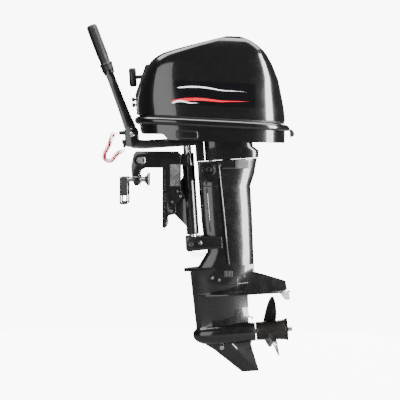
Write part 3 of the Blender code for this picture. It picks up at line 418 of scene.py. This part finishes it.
def cowl_rings(bm, shrink):
    """The cowl's rings from the seam to the crown, drawn in by shrink for the inner face."""
    rings = []
    for share, front, rear, width in rounded(cowl_shape, 4):
        lift = share * cowl_height - shrink * max(0.0, share - 0.4) / 0.6 + (0.0005 if share == 0 else 0)
        rings.append(oval(bm, front * cowl_length + shrink, rear * cowl_length - shrink * 1.2,
                          width * cowl_half_w - shrink * 1.2, lambda x: seam_z(x) + lift,
                          flank_square + 4.5 * share ** 2))
    for share, front, rear, width in crown_shape:
        rings.append(oval(bm, front * cowl_length, rear * cowl_length, width * cowl_half_w,
                          lambda x: seam_z(x) + share * cowl_height - shrink, crown_square))
    return rings


bm = bmesh.new()
outer, inner = cowl_rings(bm, 0), cowl_rings(bm, cowl_wall)
bridge(bm, outer)
bridge(bm, inner)
bridge(bm, [outer[0], inner[0]])
strip_cap(bm, outer[-1])
strip_cap(bm, inner[-1])
cowl = own("top_cowl_skin", bm, charcoal_gloss, "top_cowl")
cut_boxes(cowl, 50, panel_notch)
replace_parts(cowl, "top_cowl")


# --- Side panels and stripes ---------------------------------------------------------------------
# Thin film laid on each flank of the cowl: a black rounded panel, and in it a red sweep over a white
# one, with a thin white line above. All are cut to shape and follow the skin.

film_black = material("black film", (0.0018, 0.0019, 0.0025), (0.006, 0.006, 0.008), (0.001, 0.001, 0.001),
                      1800, 0.2, 0.2, 0.12, 0.2, 0.0, 0.4, 0.00002, 0.05)
film_red = material("red film", (0.55, 0.008, 0.02), (0.62, 0.02, 0.03), (0.4, 0.005, 0.012),
                    1800, 0.3, 0.2, 0.25, 0.35, 0.0, 0.4, 0.00002, 0.05)
film_white = material("white film", (0.78, 0.78, 0.78), (0.85, 0.85, 0.85), (0.6, 0.6, 0.6),
                      1800, 0.3, 0.2, 0.25, 0.35, 0.0, 0.4, 0.00002, 0.05)

skin = bmesh.new()
skin.from_mesh(cowl.data)
skin_tree = BVHTree.FromBMesh(skin)
skin.free()


def film(name, outline, finish, side, lift, step=0.006):
    """A thin sheet cut to an outline of (x, z) points and pressed on to the cowl's flank."""
    bm = bmesh.new()
    bm.faces.new([bm.verts.new((x, 0, z)) for x, z in outline])
    for axis in (0, 1):
        low, high = min(point[axis] for point in outline), max(point[axis] for point in outline)
        way = Vector((1, 0, 0)) if axis == 0 else Vector((0, 0, 1))
        for k in range(1, int((high - low) / step) + 1):
            bmesh.ops.bisect_plane(bm, geom=bm.verts[:] + bm.edges[:] + bm.faces[:],
                                   plane_co=way * (low + k * step), plane_no=way)
    for vert in bm.verts:
        seen_from = Vector((vert.co.x, side * 0.4, vert.co.z))
        hit, normal, _, _ = skin_tree.ray_cast(seen_from, Vector((0, -side, 0)))
        vert.co = hit + normal * (lift if normal.y * side > 0 else -lift)
    return own(name, bm, finish, "top_cowl", 60)


def corner_points(low, high, r):
    """The points of a rounded rectangle in (x, z), seven to a corner."""
    for x, z, start in ((high[0] - r, high[1] - r, 0), (low[0] + r, high[1] - r, 90),
                        (low[0] + r, low[1] + r, 180), (high[0] - r, low[1] + r, 270)):
        for k in range(7):
            yield x, z, math.radians(start + 15 * k)


def round_box(low, high, r, lean):
    """A rounded rectangle that falls aft with the seam."""
    found = []
    for x, z, a in corner_points(low, high, r):
        x += r * math.cos(a)
        found.append((x, z + r * math.sin(a) - lean * (x - low[0])))
    return found


def sweep(x0, x1, z, thick, drop, count=28):
    """A long thin leaf shape, fullest near its front."""
    top, under = [], []
    for k in range(count + 1):
        t = k / count
        x = x0 + (x1 - x0) * t
        mid = z + drop * t + 0.006 * math.sin(math.pi * min(1, t * 1.6)) - 0.004 * t
        half = thick / 2 * (math.sin(math.pi * t ** 0.45) if 0 < t < 1 else 0)
        top.append((x, mid + half))
        under.append((x, mid - half))
    return top + under[-2:0:-1]


for side, side_name in ((-1, "port"), (1, "starboard")):
    panel = round_box((0.030, 0.190), (0.279, 0.262), 0.006, 0.045)
    film(f"{side_name}_panel", panel, film_black, side, 0.0003)
    film(f"{side_name}_red_sweep", sweep(0.028, 0.262, 0.199, 0.0095, 0.003), film_red, side, 0.0006)
    film(f"{side_name}_white_sweep", sweep(0.030, 0.112, 0.1935, 0.0060, 0.004), film_white, side, 0.0008)
    film(f"{side_name}_upper_line", sweep(0.045, 0.255, 0.239, 0.0050, -0.009), film_white, side, 0.0006)


# --- Lower cowl ----------------------------------------------------------------------------------
# The tray under the engine, in the top cowl's glossy finish, with a round bead at its rim where the
# top cowl sits. It is moulded open for the leg and the steering head.

# The tray's underside, as (x, z) points
pan_low = ((0.0, 0.100), (0.012, 0.080), (0.075, 0.076), (0.090, 0.056), (0.200, 0.043), (0.400, 0.026),
           (0.446, 0.022), (0.5, 0.022))
# The bead, upwards: how far each ring stands out at the front, aft and abeam, and its drop from the seam
bead = ((-0.005, -0.004, -0.005, 0.0290), (0.000, 0.002, 0.000, 0.0288), (0.006, 0.008, 0.005, 0.0268),
        (0.009, 0.012, 0.0077, 0.0218), (0.0092, 0.012, 0.0079, 0.0165), (0.0075, 0.010, 0.0068, 0.0115),
        (0.003, 0.005, 0.003, 0.0074), (-0.002, 0.000, -0.001, 0.0056))
bead_foot, bead_top = 0.029, 0.0056
pan_floor, pan_floor_end, pan_wall = 0.066, 0.21, 0.003
steering_slot = ((-0.05, -0.040, -0.1), (0.205, 0.040, 0.063))
leg_opening = ((0.195, -0.046, -0.1), (0.350, 0.046, 0.1))
shaft_opening = ((0.167, -0.052, 0.060), (0.332, 0.052, 0.2))


def underside(x):
    """The height of the tray's underside."""
    for (x0, z0), (x1, z1) in zip(pan_low, pan_low[1:]):
        if x <= x1:
            return z0 + (z1 - z0) * (x - x0) / (x1 - x0)
    return pan_low[-1][1]


bm = bmesh.new()
rings = [oval(bm, 0.006, cowl_length - 0.006, cowl_half_w - 0.008, underside),
         oval(bm, 0.0055, cowl_length - 0.005, cowl_half_w - 0.0065,
              lambda x: (underside(x) + seam_z(x) - bead_foot) / 2)]
for front, rear, side, drop in bead:
    rings.append(oval(bm, -front, cowl_length + rear, cowl_half_w + side, lambda x: seam_z(x) - drop))
rings += [oval(bm, 0.010, cowl_length - 0.010, cowl_half_w - 0.010, lambda x: seam_z(x) - bead_top),
          oval(bm, 0.009, cowl_length - 0.008, cowl_half_w - 0.009, lambda x: seam_z(x) - bead_foot),
          oval(bm, 0.010, cowl_length - 0.010, cowl_half_w - 0.012,
               lambda x: max(underside(x) + pan_wall, pan_floor if x < pan_floor_end else 0))]
bridge(bm, rings)
strip_cap(bm, rings[0])
strip_cap(bm, rings[-1])
tray = own("lower_cowl_tray", bm, charcoal_gloss, "motor")
cut_boxes(tray, 40, steering_slot, leg_opening, shaft_opening)
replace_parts(tray, "lower_cowl")


# --- Engine --------------------------------------------------------------------------------------
# Sand-cast block, flywheel and carburettor in bare alloy, under the cowl. The cylinder head and other
# castings that carry grey paint are bolted on, and the spark plugs are glazed white.

bare_alloy = material("bare alloy", (0.36, 0.355, 0.34), (0.52, 0.52, 0.5), (0.18, 0.175, 0.16),
                      700, 0.5, 0.4, 0.34, 0.5, 1.0, 0.0, 0.00015, 0.35)
grey_casting = material("grey painted casting", (0.040, 0.040, 0.040), (0.14, 0.14, 0.135),
                        (0.015, 0.015, 0.015), 900, 0.4, 0.4, 0.34, 0.5, 0.5, 0.25, 0.00015, 0.35)
glazed_white = material("glazed white", (0.78, 0.77, 0.74), (0.85, 0.85, 0.83), (0.6, 0.58, 0.55),
                        500, 0.3, 0.3, 0.16, 0.3, 0.0, 0.3, 0.00003, 0.1)
dress(bare_alloy, "carburettor", "engine_block", "flywheel", "starter_pulley")
dress(grey_casting, "cylinder_head", "water_pump_housing", "transom_tie_plate", "bearing_carrier")
dress(glazed_white, "upper_spark_plug", "lower_spark_plug")


# --- Shafts, rods and clamp screws ---------------------------------------------------------------
# Turned from stainless bar and left bright. They run in the castings, and the clamp screws are
# threaded through the brackets.

bright_steel = material("bright steel", (0.56, 0.555, 0.54), (0.7, 0.7, 0.68), (0.35, 0.33, 0.3),
                        1600, 0.4, 0.3, 0.2, 0.34, 1.0, 0.0, 0.00004, 0.2)
dress(bright_steel, "tilt_bolt", "thrust_rod", "port_clamp_screw", "starboard_clamp_screw",
      "steering_shaft", "drive_shaft", "propeller_shaft", "propeller_nut", "shift_rod", "crankshaft",
      "tilt_lock_lever")


# --- Gears and clamp pads ------------------------------------------------------------------------
# Forged and cast iron, dark with oil or zinc: the bevel gears and their clutch dog in the gearcase,
# and the swivelling pads that press on the transom.

dark_iron = material("dark iron", (0.09, 0.088, 0.085), (0.2, 0.2, 0.19), (0.03, 0.028, 0.025),
                     800, 0.4, 0.5, 0.4, 0.6, 0.9, 0.0, 0.0001, 0.4)
dress(dark_iron, "pinion_gear", "forward_gear", "reverse_gear", "clutch_dog", "port_clamp_pad",
      "starboard_clamp_pad")


# --- Seal and pump impeller ----------------------------------------------------------------------
# Moulded black rubber. The seal is pressed on to the lower cowl's rim, and the impeller is keyed to
# the drive shaft.

black_rubber = material("black rubber", (0.005, 0.005, 0.005), (0.02, 0.02, 0.02), (0.008, 0.0078, 0.0075),
                        1400, 0.3, 0.3, 0.46, 0.62, 0.0, 0.0, 0.0001, 0.4)
dress(black_rubber, "cowl_seal", "pump_impeller")


# --- Moulded fittings ----------------------------------------------------------------------------
# Knobs, levers and housings of black filled plastic, dull from the mould. They are screwed or
# clipped to the engine, the front panel and the tiller's bracket.

black_plastic = material("black moulded plastic", (0.009, 0.009, 0.0095), (0.035, 0.035, 0.035),
                         (0.005, 0.005, 0.005), 1800, 0.35, 0.3, 0.34, 0.48, 0.0, 0.0, 0.0001, 0.4)
dress(black_plastic, "ignition_coil", "starter_housing", "choke_knob", "idle_knob", "stop_switch",
      "lanyard_clip", "lanyard_hook", "shift_lever")


# --- Trim tab ------------------------------------------------------------------------------------
# A sacrificial tab of cast zinc, left bare. It is bolted under the tail of the anti-ventilation
# plate.

zinc_grey = material("cast zinc", (0.52, 0.53, 0.54), (0.66, 0.66, 0.66), (0.38, 0.38, 0.37),
                     600, 0.5, 0.4, 0.5, 0.65, 0.7, 0.0, 0.0002, 0.5)
dress(zinc_grey, "trim_tab")


# --- Painted castings ----------------------------------------------------------------------------
# Die-cast aluminium in charcoal paint: the leg, the gearcase, the brackets and the tiller, with the
# engine's base. Their edges are eased as a casting's are, and so are the moulded front panel's.

charcoal_paint = material("charcoal cast paint", (0.0045, 0.0045, 0.0044), (0.05, 0.05, 0.048),
                          (0.002, 0.002, 0.002), 1500, 0.28, 0.35, 0.22, 0.34, 0.40, 0.8, 0.00008, 0.2)

weld_gap = 0.00002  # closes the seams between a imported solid's facets
flat_angle, edge_angle = math.radians(1), math.radians(38)  # below the one a plane, above the other an edge


def eased(name, finish, width, segments=2):
    """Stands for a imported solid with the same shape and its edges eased."""
    source = nodes[name]
    bm = bmesh.new()
    bm.from_mesh(source.data)
    bmesh.ops.remove_doubles(bm, verts=bm.verts, dist=weld_gap)
    bmesh.ops.dissolve_limit(bm, angle_limit=flat_angle, verts=bm.verts, edges=bm.edges)
    sharp = [e for e in bm.edges if len(e.link_faces) == 2 and e.calc_face_angle(0) > edge_angle]
    bmesh.ops.bevel(bm, geom=sharp, offset=width, segments=segments, profile=0.6, affect="EDGES",
                    clamp_overlap=True)
    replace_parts(own(f"{name}_finished", bm, finish, source["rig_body"], 38), name)


for name, width in (("drive_shaft_housing", 0.0012), ("gearcase", 0.0008), ("swivel_bracket", 0.001),
                    ("steering_bracket", 0.001), ("lower_mount_yoke", 0.001), ("port_clamp_bracket", 0.0015),
                    ("starboard_clamp_bracket", 0.0015), ("tiller_arm", 0.0012)):
    eased(name, charcoal_paint, width)
eased("engine_base", charcoal_paint, 0.0020, 3)
eased("front_panel", black_plastic, 0.0008)


# --- Fittings on the leg -------------------------------------------------------------------------
# On each side a grey pipe and a cast rib run down the leg, below a bright bolt and the cap of the
# rubber mount. They lie close on the painted housing, and the cap covers the mount's end.

trees = {}


def on(name, x, z, side, off=0.0):
    """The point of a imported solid's flank at x, z, looking in from that side."""
    if name not in trees:
        bm = bmesh.new()
        bm.from_mesh(nodes[name].data)
        trees[name] = BVHTree.FromBMesh(bm)
        bm.free()
    hit = trees[name].ray_cast(Vector((x, side * 0.4, z)), Vector((0, -side, 0)))[0]
    return Vector((x, (hit.y if hit else 0) + side * off, z))


def ring_of(bm, centre, turn, r, h, sides):
    """A circle of vertices, or one vertex where r is nothing, at height h above a centre."""
    if r == 0:
        return [bm.verts.new(centre + turn @ Vector((0, 0, h)))]
    return [bm.verts.new(centre + turn @ Vector((r * math.cos(math.tau * k / sides),
                                                 r * math.sin(math.tau * k / sides), h)))
            for k in range(sides)]


def tube_bm(bm, points, r, sides):
    """A round tube along world points at rest."""
    points = [Vector(p) for p in points]
    rings = []
    for i, here in enumerate(points):
        along = (points[min(i + 1, len(points) - 1)] - points[max(i - 1, 0)]).normalized()
        rings.append(ring_of(bm, here, along.to_track_quat("Z", "Y").to_matrix(), r, 0, sides))
    bridge(bm, rings)
    bm.faces.new(rings[0])
    bm.faces.new(rings[-1])


def tube(name, points, r, finish, body, sides=10):
    """A piece that is one round tube."""
    bm = bmesh.new()
    tube_bm(bm, points, r, sides)
    return own(name, bm, finish, body)


def turned_bm(bm, profile, centre, direction, sides):
    """A profile of (radius, height) pairs swept round a direction from a centre."""
    turn = Vector(direction).to_track_quat("Z", "Y").to_matrix()
    rings = [ring_of(bm, Vector(centre), turn, r, h, sides) for r, h in profile]
    for a, b in zip(rings, rings[1:]):
        for k in range(sides):
            j = (k + 1) % sides
            corners = [a[k % len(a)], a[j % len(a)], b[j % len(b)], b[k % len(b)]]
            corners = list(dict.fromkeys(corners))
            if len(corners) > 2:
                bm.faces.new(corners)


def turned(name, profile, centre, direction, finish, body, sides):
    """A piece that is one turned shape."""
    bm = bmesh.new()
    turned_bm(bm, profile, centre, direction, sides)
    return own(name, bm, finish, body, 30)


def bolts(name, places, r, h, side, body, sides=18):
    """Like screws with domed and dimpled heads in one piece, each set down on a flank."""
    head = ((0, h * 0.55), (r * 0.42, h * 0.55), (r * 0.5, h), (r * 0.8, h), (r, h * 0.6), (r, -0.002),
            (0, -0.002))
    bm = bmesh.new()
    for place in places:
        turned_bm(bm, head, place, (0, side, 0), sides)
    return own(name, bm, bright_steel, body, 30)


def down_leg(top, foot, steps, side, off):
    """Points down the leg's flank in even steps, from one (x, z) to another."""
    found = []
    for k in range(steps + 1):
        x, z = (a + (b - a) * (k / steps) for a, b in zip(top, foot))
        found.append(on("drive_shaft_housing", x, z, side, off))
    return found


pipe_top, pipe_foot = (0.1719, 0.006), (0.2024, -0.2963)
rib_top, rib_foot = (0.1323, -0.0352), (0.1460, -0.1961)
mount_cap = ((0, 0.0118), (0.0035, 0.0118), (0.0045, 0.0105), (0.0055, 0.0118), (0.0085, 0.0128),
             (0.0098, 0.0105), (0.0112, 0.0095), (0.0128, 0.0108), (0.0150, 0.0106), (0.0162, 0.0080),
             (0.0180, 0.0078), (0.0200, 0.0086), (0.0218, 0.0060), (0.0220, 0.0), (0, 0))

for side, side_name in ((-1, "port"), (1, "starboard")):
    pipe_line = down_leg(pipe_top, pipe_foot, 14, side, 0.0025)
    tube(f"{side_name}_drain_pipe", pipe_line, 0.0028, grey_casting, "motor")
    rib_line = down_leg(rib_top, rib_foot, 10, side, 0.0008)
    tube(f"{side_name}_leg_rib", rib_line, 0.0020, charcoal_paint, "motor")
    bolts(f"{side_name}_leg_bolt", [on("drive_shaft_housing", 0.1719, 0.0075, side)],
          0.0062, 0.005, side, "motor")
    low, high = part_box(f"{side_name}_upper_mount")
    centre = ((low[0] + high[0]) / 2, low[1] if side > 0 else high[1], (low[2] + high[2]) / 2)
    cap = turned(f"{side_name}_mount_cap", mount_cap, centre, (0, side, 0), charcoal_paint,
                 "motor", 40)
    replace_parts(cap, f"{side_name}_upper_mount")


# --- Lower mount and strap -----------------------------------------------------------------------
# A rubber strap round the port side of the leg. Below it, on both sides, the lower mount has a turned
# cap with a bright bolt, a blank slot beside it and a bonding wire that hangs clear in an arc.

strap_line = [on("drive_shaft_housing", 0.1079 + 0.0609 * k / 12, -0.0571, -1, 0.0009) for k in range(13)]
strap_line = [p for p in strap_line if abs(p.y) > 0.01]
tube("leg_strap", strap_line, 0.0013, black_rubber, "motor", 8)

lower_cap = ((0, 0.0042), (0.0042, 0.0042), (0.0055, 0.0026), (0.0078, 0.0030), (0.0092, 0.0022),
             (0.0100, -0.001), (0, -0.001))
slot_ring = ((0, 0.0004), (0.0045, 0.0004), (0.0062, 0.0012), (0.0074, 0.0008), (0.0078, -0.001),
             (0, -0.001))
# The bonding wire's x, its distance from the middle and its z
wire_line = ((0.078, 0.044, -0.2515), (0.086, 0.045, -0.262), (0.100, 0.045, -0.2695),
             (0.114, 0.043, -0.2685), (0.126, 0.041, -0.2655), (0.137, 0.038, -0.2600))

low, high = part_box("lower_mount_yoke")
for side, side_name in ((-1, "port"), (1, "starboard")):
    flank = high[1] if side > 0 else low[1]
    turned(f"{side_name}_lower_mount_cap", lower_cap, (0.111, flank, -0.2299), (0, side, 0), charcoal_paint,
           "motor", 32)
    bolts(f"{side_name}_lower_mount_bolt", [(0.111, flank + side * 0.0035, -0.2299)],
          0.0040, 0.0028, side, "motor")
    turned(f"{side_name}_lower_mount_slot", slot_ring, (0.0867, flank, -0.2335), (0, side, 0), black_rubber,
           "motor", 24)
    tube(f"{side_name}_bonding_wire", rounded([(x, side * y, z) for x, y, z in wire_line], 6), 0.0009,
         black_plastic, "motor", 8)


# --- Clamp bracket fittings ----------------------------------------------------------------------
# A blank plate of bright alloy, riveted to the port bracket. Both brackets have four bright screws and
# a turned ring round the tilt bolt's boss.

plate_outline = ((0.0240, 0.0110), (0.0515, 0.0110), (0.0525, 0.0100), (0.0525, -0.0545),
                 (0.0515, -0.0555), (0.0240, -0.0555), (0.0230, -0.0545), (0.0230, 0.0100))
bracket_screws = ((0.046, -0.071), (0.0545, -0.0865), (0.030, -0.104), (0.0105, -0.168))
boss_ring = ((0.0105, 0.0004), (0.0125, 0.0016), (0.0150, 0.0018), (0.0172, 0.0006), (0.0176, -0.0008),
             (0.0105, -0.0008), (0.0105, 0.0004))

flank = on("port_clamp_bracket", 0.037, -0.02, -1).y
plate = bmesh.new()
rows = [[plate.verts.new((x, flank - off, z)) for x, z in plate_outline] for off in (0.0002, 0.0010)]
bridge(plate, rows)
plate.faces.new(rows[0])
plate.faces.new(rows[1])
own("blank_plate", plate, bright_steel, "clamp", 20)
bolts("plate_rivets", [(x, flank - 0.001, z) for x in (0.0262, 0.0493) for z in (0.0075, -0.0520)],
      0.0016, 0.0010, -1, "clamp", 12)
for side, side_name in ((-1, "port"), (1, "starboard")):
    bolts(f"{side_name}_bracket_screws",
          [on(f"{side_name}_clamp_bracket", x, z, side) for x, z in bracket_screws],
          0.0042, 0.0032, side, "clamp")
    turned(f"{side_name}_tilt_boss_ring", boss_ring, (-0.068, side * 0.0690, 0.023), (0, side, 0),
           charcoal_paint, "clamp", 40)


# --- Gearcase fittings ---------------------------------------------------------------------------
# Bright screws through the joint with the leg, a parting bead, the oil plug, the black grille of the
# water inlet and the exhaust relief's bosses, all set down on the painted flanks of the gearcase.

gearcase_screws = ((0.1505, -0.3385), (0.1721, -0.3450), (0.2500, -0.3330))
oil_plug = ((0, 0.0010), (0.0016, 0.0010), (0.0018, 0.0026), (0.0060, 0.0026), (0.0072, 0.0014),
            (0.0078, -0.002), (0, -0.002))
relief_boss = ((0, 0.0016), (0.0030, 0.0012), (0.0036, -0.001), (0, -0.001))
bar_count, bar_pitch, first_bar = 6, 0.0046, 0.1900


def ledge(name, points, r, finish, side):
    """A thin bead laid along the gearcase's flank, rounded through (x, z) points."""
    line = rounded([(x, 0, z) for x, z in points], 8)
    tube(name, [on("gearcase", p.x, p.z, side, r * 0.35) for p in line], r, finish, "motor", 8)


for side, side_name in ((-1, "port"), (1, "starboard")):
    bolts(f"{side_name}_gearcase_screws", [on("gearcase", x, z, side) for x, z in gearcase_screws],
          0.0046, 0.0034, side, "motor")
    ledge(f"{side_name}_parting_bead", ((0.138, -0.352), (0.170, -0.356), (0.215, -0.3575), (0.262, -0.354)),
          0.0009, charcoal_paint, side)
    turned(f"{side_name}_oil_plug", oil_plug, on("gearcase", 0.1814, -0.5560, side), (0, side, 0),
           bright_steel, "motor", 24)
    grille = bmesh.new()
    for k in range(bar_count):
        x = first_bar + bar_pitch * k
        bar = [on("gearcase", x, z, side, 0.0003) for z in (-0.3160, -0.3220, -0.3280, -0.3340)]
        tube_bm(grille, bar, 0.0011, 8)
    own(f"{side_name}_inlet_grille", grille, black_plastic, "motor")
    relief = bmesh.new()
    for x, z in ((0.2655, -0.4600), (0.2745, -0.4640), (0.2700, -0.5400)):
        turned_bm(relief, relief_boss, on("gearcase", x, z, side), (0, side, 0), 16)
    own(f"{side_name}_relief_bosses", relief, charcoal_paint, "motor")
    ledge(f"{side_name}_leg_cast_line", ((0.2290, -0.3400), (0.2285, -0.3520), (0.2275, -0.3660)), 0.0016,
          bare_alloy, side)


# --- Leg collar ----------------------------------------------------------------------------------
# A smooth collar of grey painted alloy, one half a side, where the leg meets the engine base. Each is
# a thin sheet with a lip at its foot, laid close on the leg.

collar_front, collar_long, collar_steps = 0.182, 0.092, 14
collar_top, top_fall, collar_foot, foot_rise = 0.0262, 0.004, -0.0040, 0.003

for side, side_name in ((-1, "port"), (1, "starboard")):
    rows = []
    sheet = bmesh.new()
    for k in range(collar_steps + 1):
        x = collar_front + collar_long * k / collar_steps
        top = collar_top - top_fall * k / collar_steps
        foot = collar_foot + foot_rise * k / collar_steps
        lip = ((top, 0.0012), (foot + 0.003, 0.0022), (foot, 0.0026), (foot - 0.0008, 0.0008))
        rows.append([sheet.verts.new(on("drive_shaft_housing", x, z, side, off)) for z, off in lip])
    for a, b in zip(rows, rows[1:]):
        for i in range(3):
            sheet.faces.new((a[i], a[i + 1], b[i + 1], b[i]))
    own(f"{side_name}_leg_collar", sheet, grey_casting, "motor", 30)


# --- Tiller screws -------------------------------------------------------------------------------
# Bright steel screws at the foot of the tiller: one through each cheek of its bracket, and the head of
# the pivot on each side of the arm.

for side, side_name in ((-1, "port"), (1, "starboard")):
    bolts(f"{side_name}_yoke_screws", [(-0.0952, side * 0.0302, 0.1151)], 0.0052, 0.0042, side, "motor")
    bolts(f"{side_name}_pivot_screw", [(-0.0945, side * 0.0366, 0.1005)], 0.0078, 0.0030, side, "tiller")


# --- Recess covers -------------------------------------------------------------------------------
# A black moulded cover with a raised rim on each flank of the lower cowl, forward. It lies along the
# seam and is held from inside.

# The rim, inwards: each ring's distance from the edge and how far it stands off the cowl
rim = ((0, -0.0010), (0.0002, 0.0016), (0.0014, 0.0024), (0.0034, 0.0022), (0.0044, 0.0006),
       (0.0065, 0.0004))
cover_low, cover_high, cover_corner, cover_slope = (0.0420, 0.0880), (0.1080, 0.1145), 0.0085, 0.05

for side, side_name in ((-1, "port"), (1, "starboard")):
    cover, rows = bmesh.new(), []
    for inset, off in rim:
        ring = []
        for x, z, a in corner_points(cover_low, cover_high, cover_corner):
            x += (cover_corner - inset) * math.cos(a)
            z += (cover_corner - inset) * math.sin(a) - cover_slope * (x - cover_low[0])
            ring.append(cover.verts.new(on("lower_cowl", x, z, side, off)))
        rows.append(ring)
    bridge(cover, rows)
    cover.faces.new(rows[-1])
    own(f"{side_name}_recess_cover", cover, black_plastic, "motor", 30)


# --- Grip, handles and latch ---------------------------------------------------------------------
# The rubber throttle grip, with fine moulded ribs round it and a plastic collar at its foot. The pull
# start's handle, the clamp handles and the cowl's latch are moulded plastic with round edges.

tiller_pivot, tiller_lean = Vector((-0.021, 0, 0.087)), math.radians(17.1)
tiller_way = Vector((-math.sin(tiller_lean), 0, math.cos(tiller_lean)))
grip_r, rib_count, first_rib, rib_span, rib_high = 0.0165, 17, 0.050, 0.086, 0.0006
grip_way = (in_motor.to_3x3() @ tiller_way).normalized()
grip_foot = in_motor @ (tiller_pivot + tiller_way * 0.2015)

eased("throttle_grip", black_rubber, 0.0008)
ribs = bmesh.new()
for k in range(rib_count):
    turned_bm(ribs, ((grip_r - rib_high, -0.0014), (grip_r + rib_high, -0.0008), (grip_r + rib_high, 0.0008),
                     (grip_r - rib_high, 0.0014)),
              grip_foot + grip_way * (first_rib + k * rib_span / (rib_count - 1)), grip_way, 40)
own("grip_ribs", ribs, black_rubber, "throttle_grip", 40)
turned("grip_collar", ((grip_r - 0.003, 0.0), (grip_r + 0.0032, 0.0), (grip_r + 0.0040, 0.0020),
                       (grip_r + 0.0040, 0.0050), (grip_r + 0.0026, 0.0065), (grip_r - 0.001, 0.0070)),
       grip_foot + grip_way * 0.018, grip_way, black_plastic, "throttle_grip", 40)
for name, width in (("starter_handle", 0.0030), ("port_clamp_handle", 0.0020),
                    ("starboard_clamp_handle", 0.0020), ("cowl_latch", 0.0008)):
    eased(name, black_plastic, width, 3)


# --- Propeller -----------------------------------------------------------------------------------
# Cast in aluminium and painted brown-grey, with its edges eased. A turned ring flares behind the hub,
# which is pressed on to the propeller shaft.

propeller_grey = material("propeller paint", (0.026, 0.024, 0.022), (0.11, 0.10, 0.09),
                          (0.010, 0.0095, 0.009), 1200, 0.35, 0.45, 0.28, 0.42, 0.75, 0.35, 0.00008, 0.25)
hub_axis = (in_motor.to_3x3() @ Vector((1, 0, 0))).normalized()
hub_rear = in_motor @ Vector((0.417, 0, -0.551))
hub_ring = ((0.0285, -0.0150), (0.0312, -0.0120), (0.0328, -0.0060), (0.0350, -0.0022), (0.0362, -0.0012),
            (0.0362, -0.0004), (0.0340, -0.0002), (0.0305, -0.0040), (0.0285, -0.0150))

eased("propeller", propeller_grey, 0.0003)
turned("hub_flare_ring", hub_ring, hub_rear, hub_axis, propeller_grey, nodes["propeller"]["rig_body"],
       48)
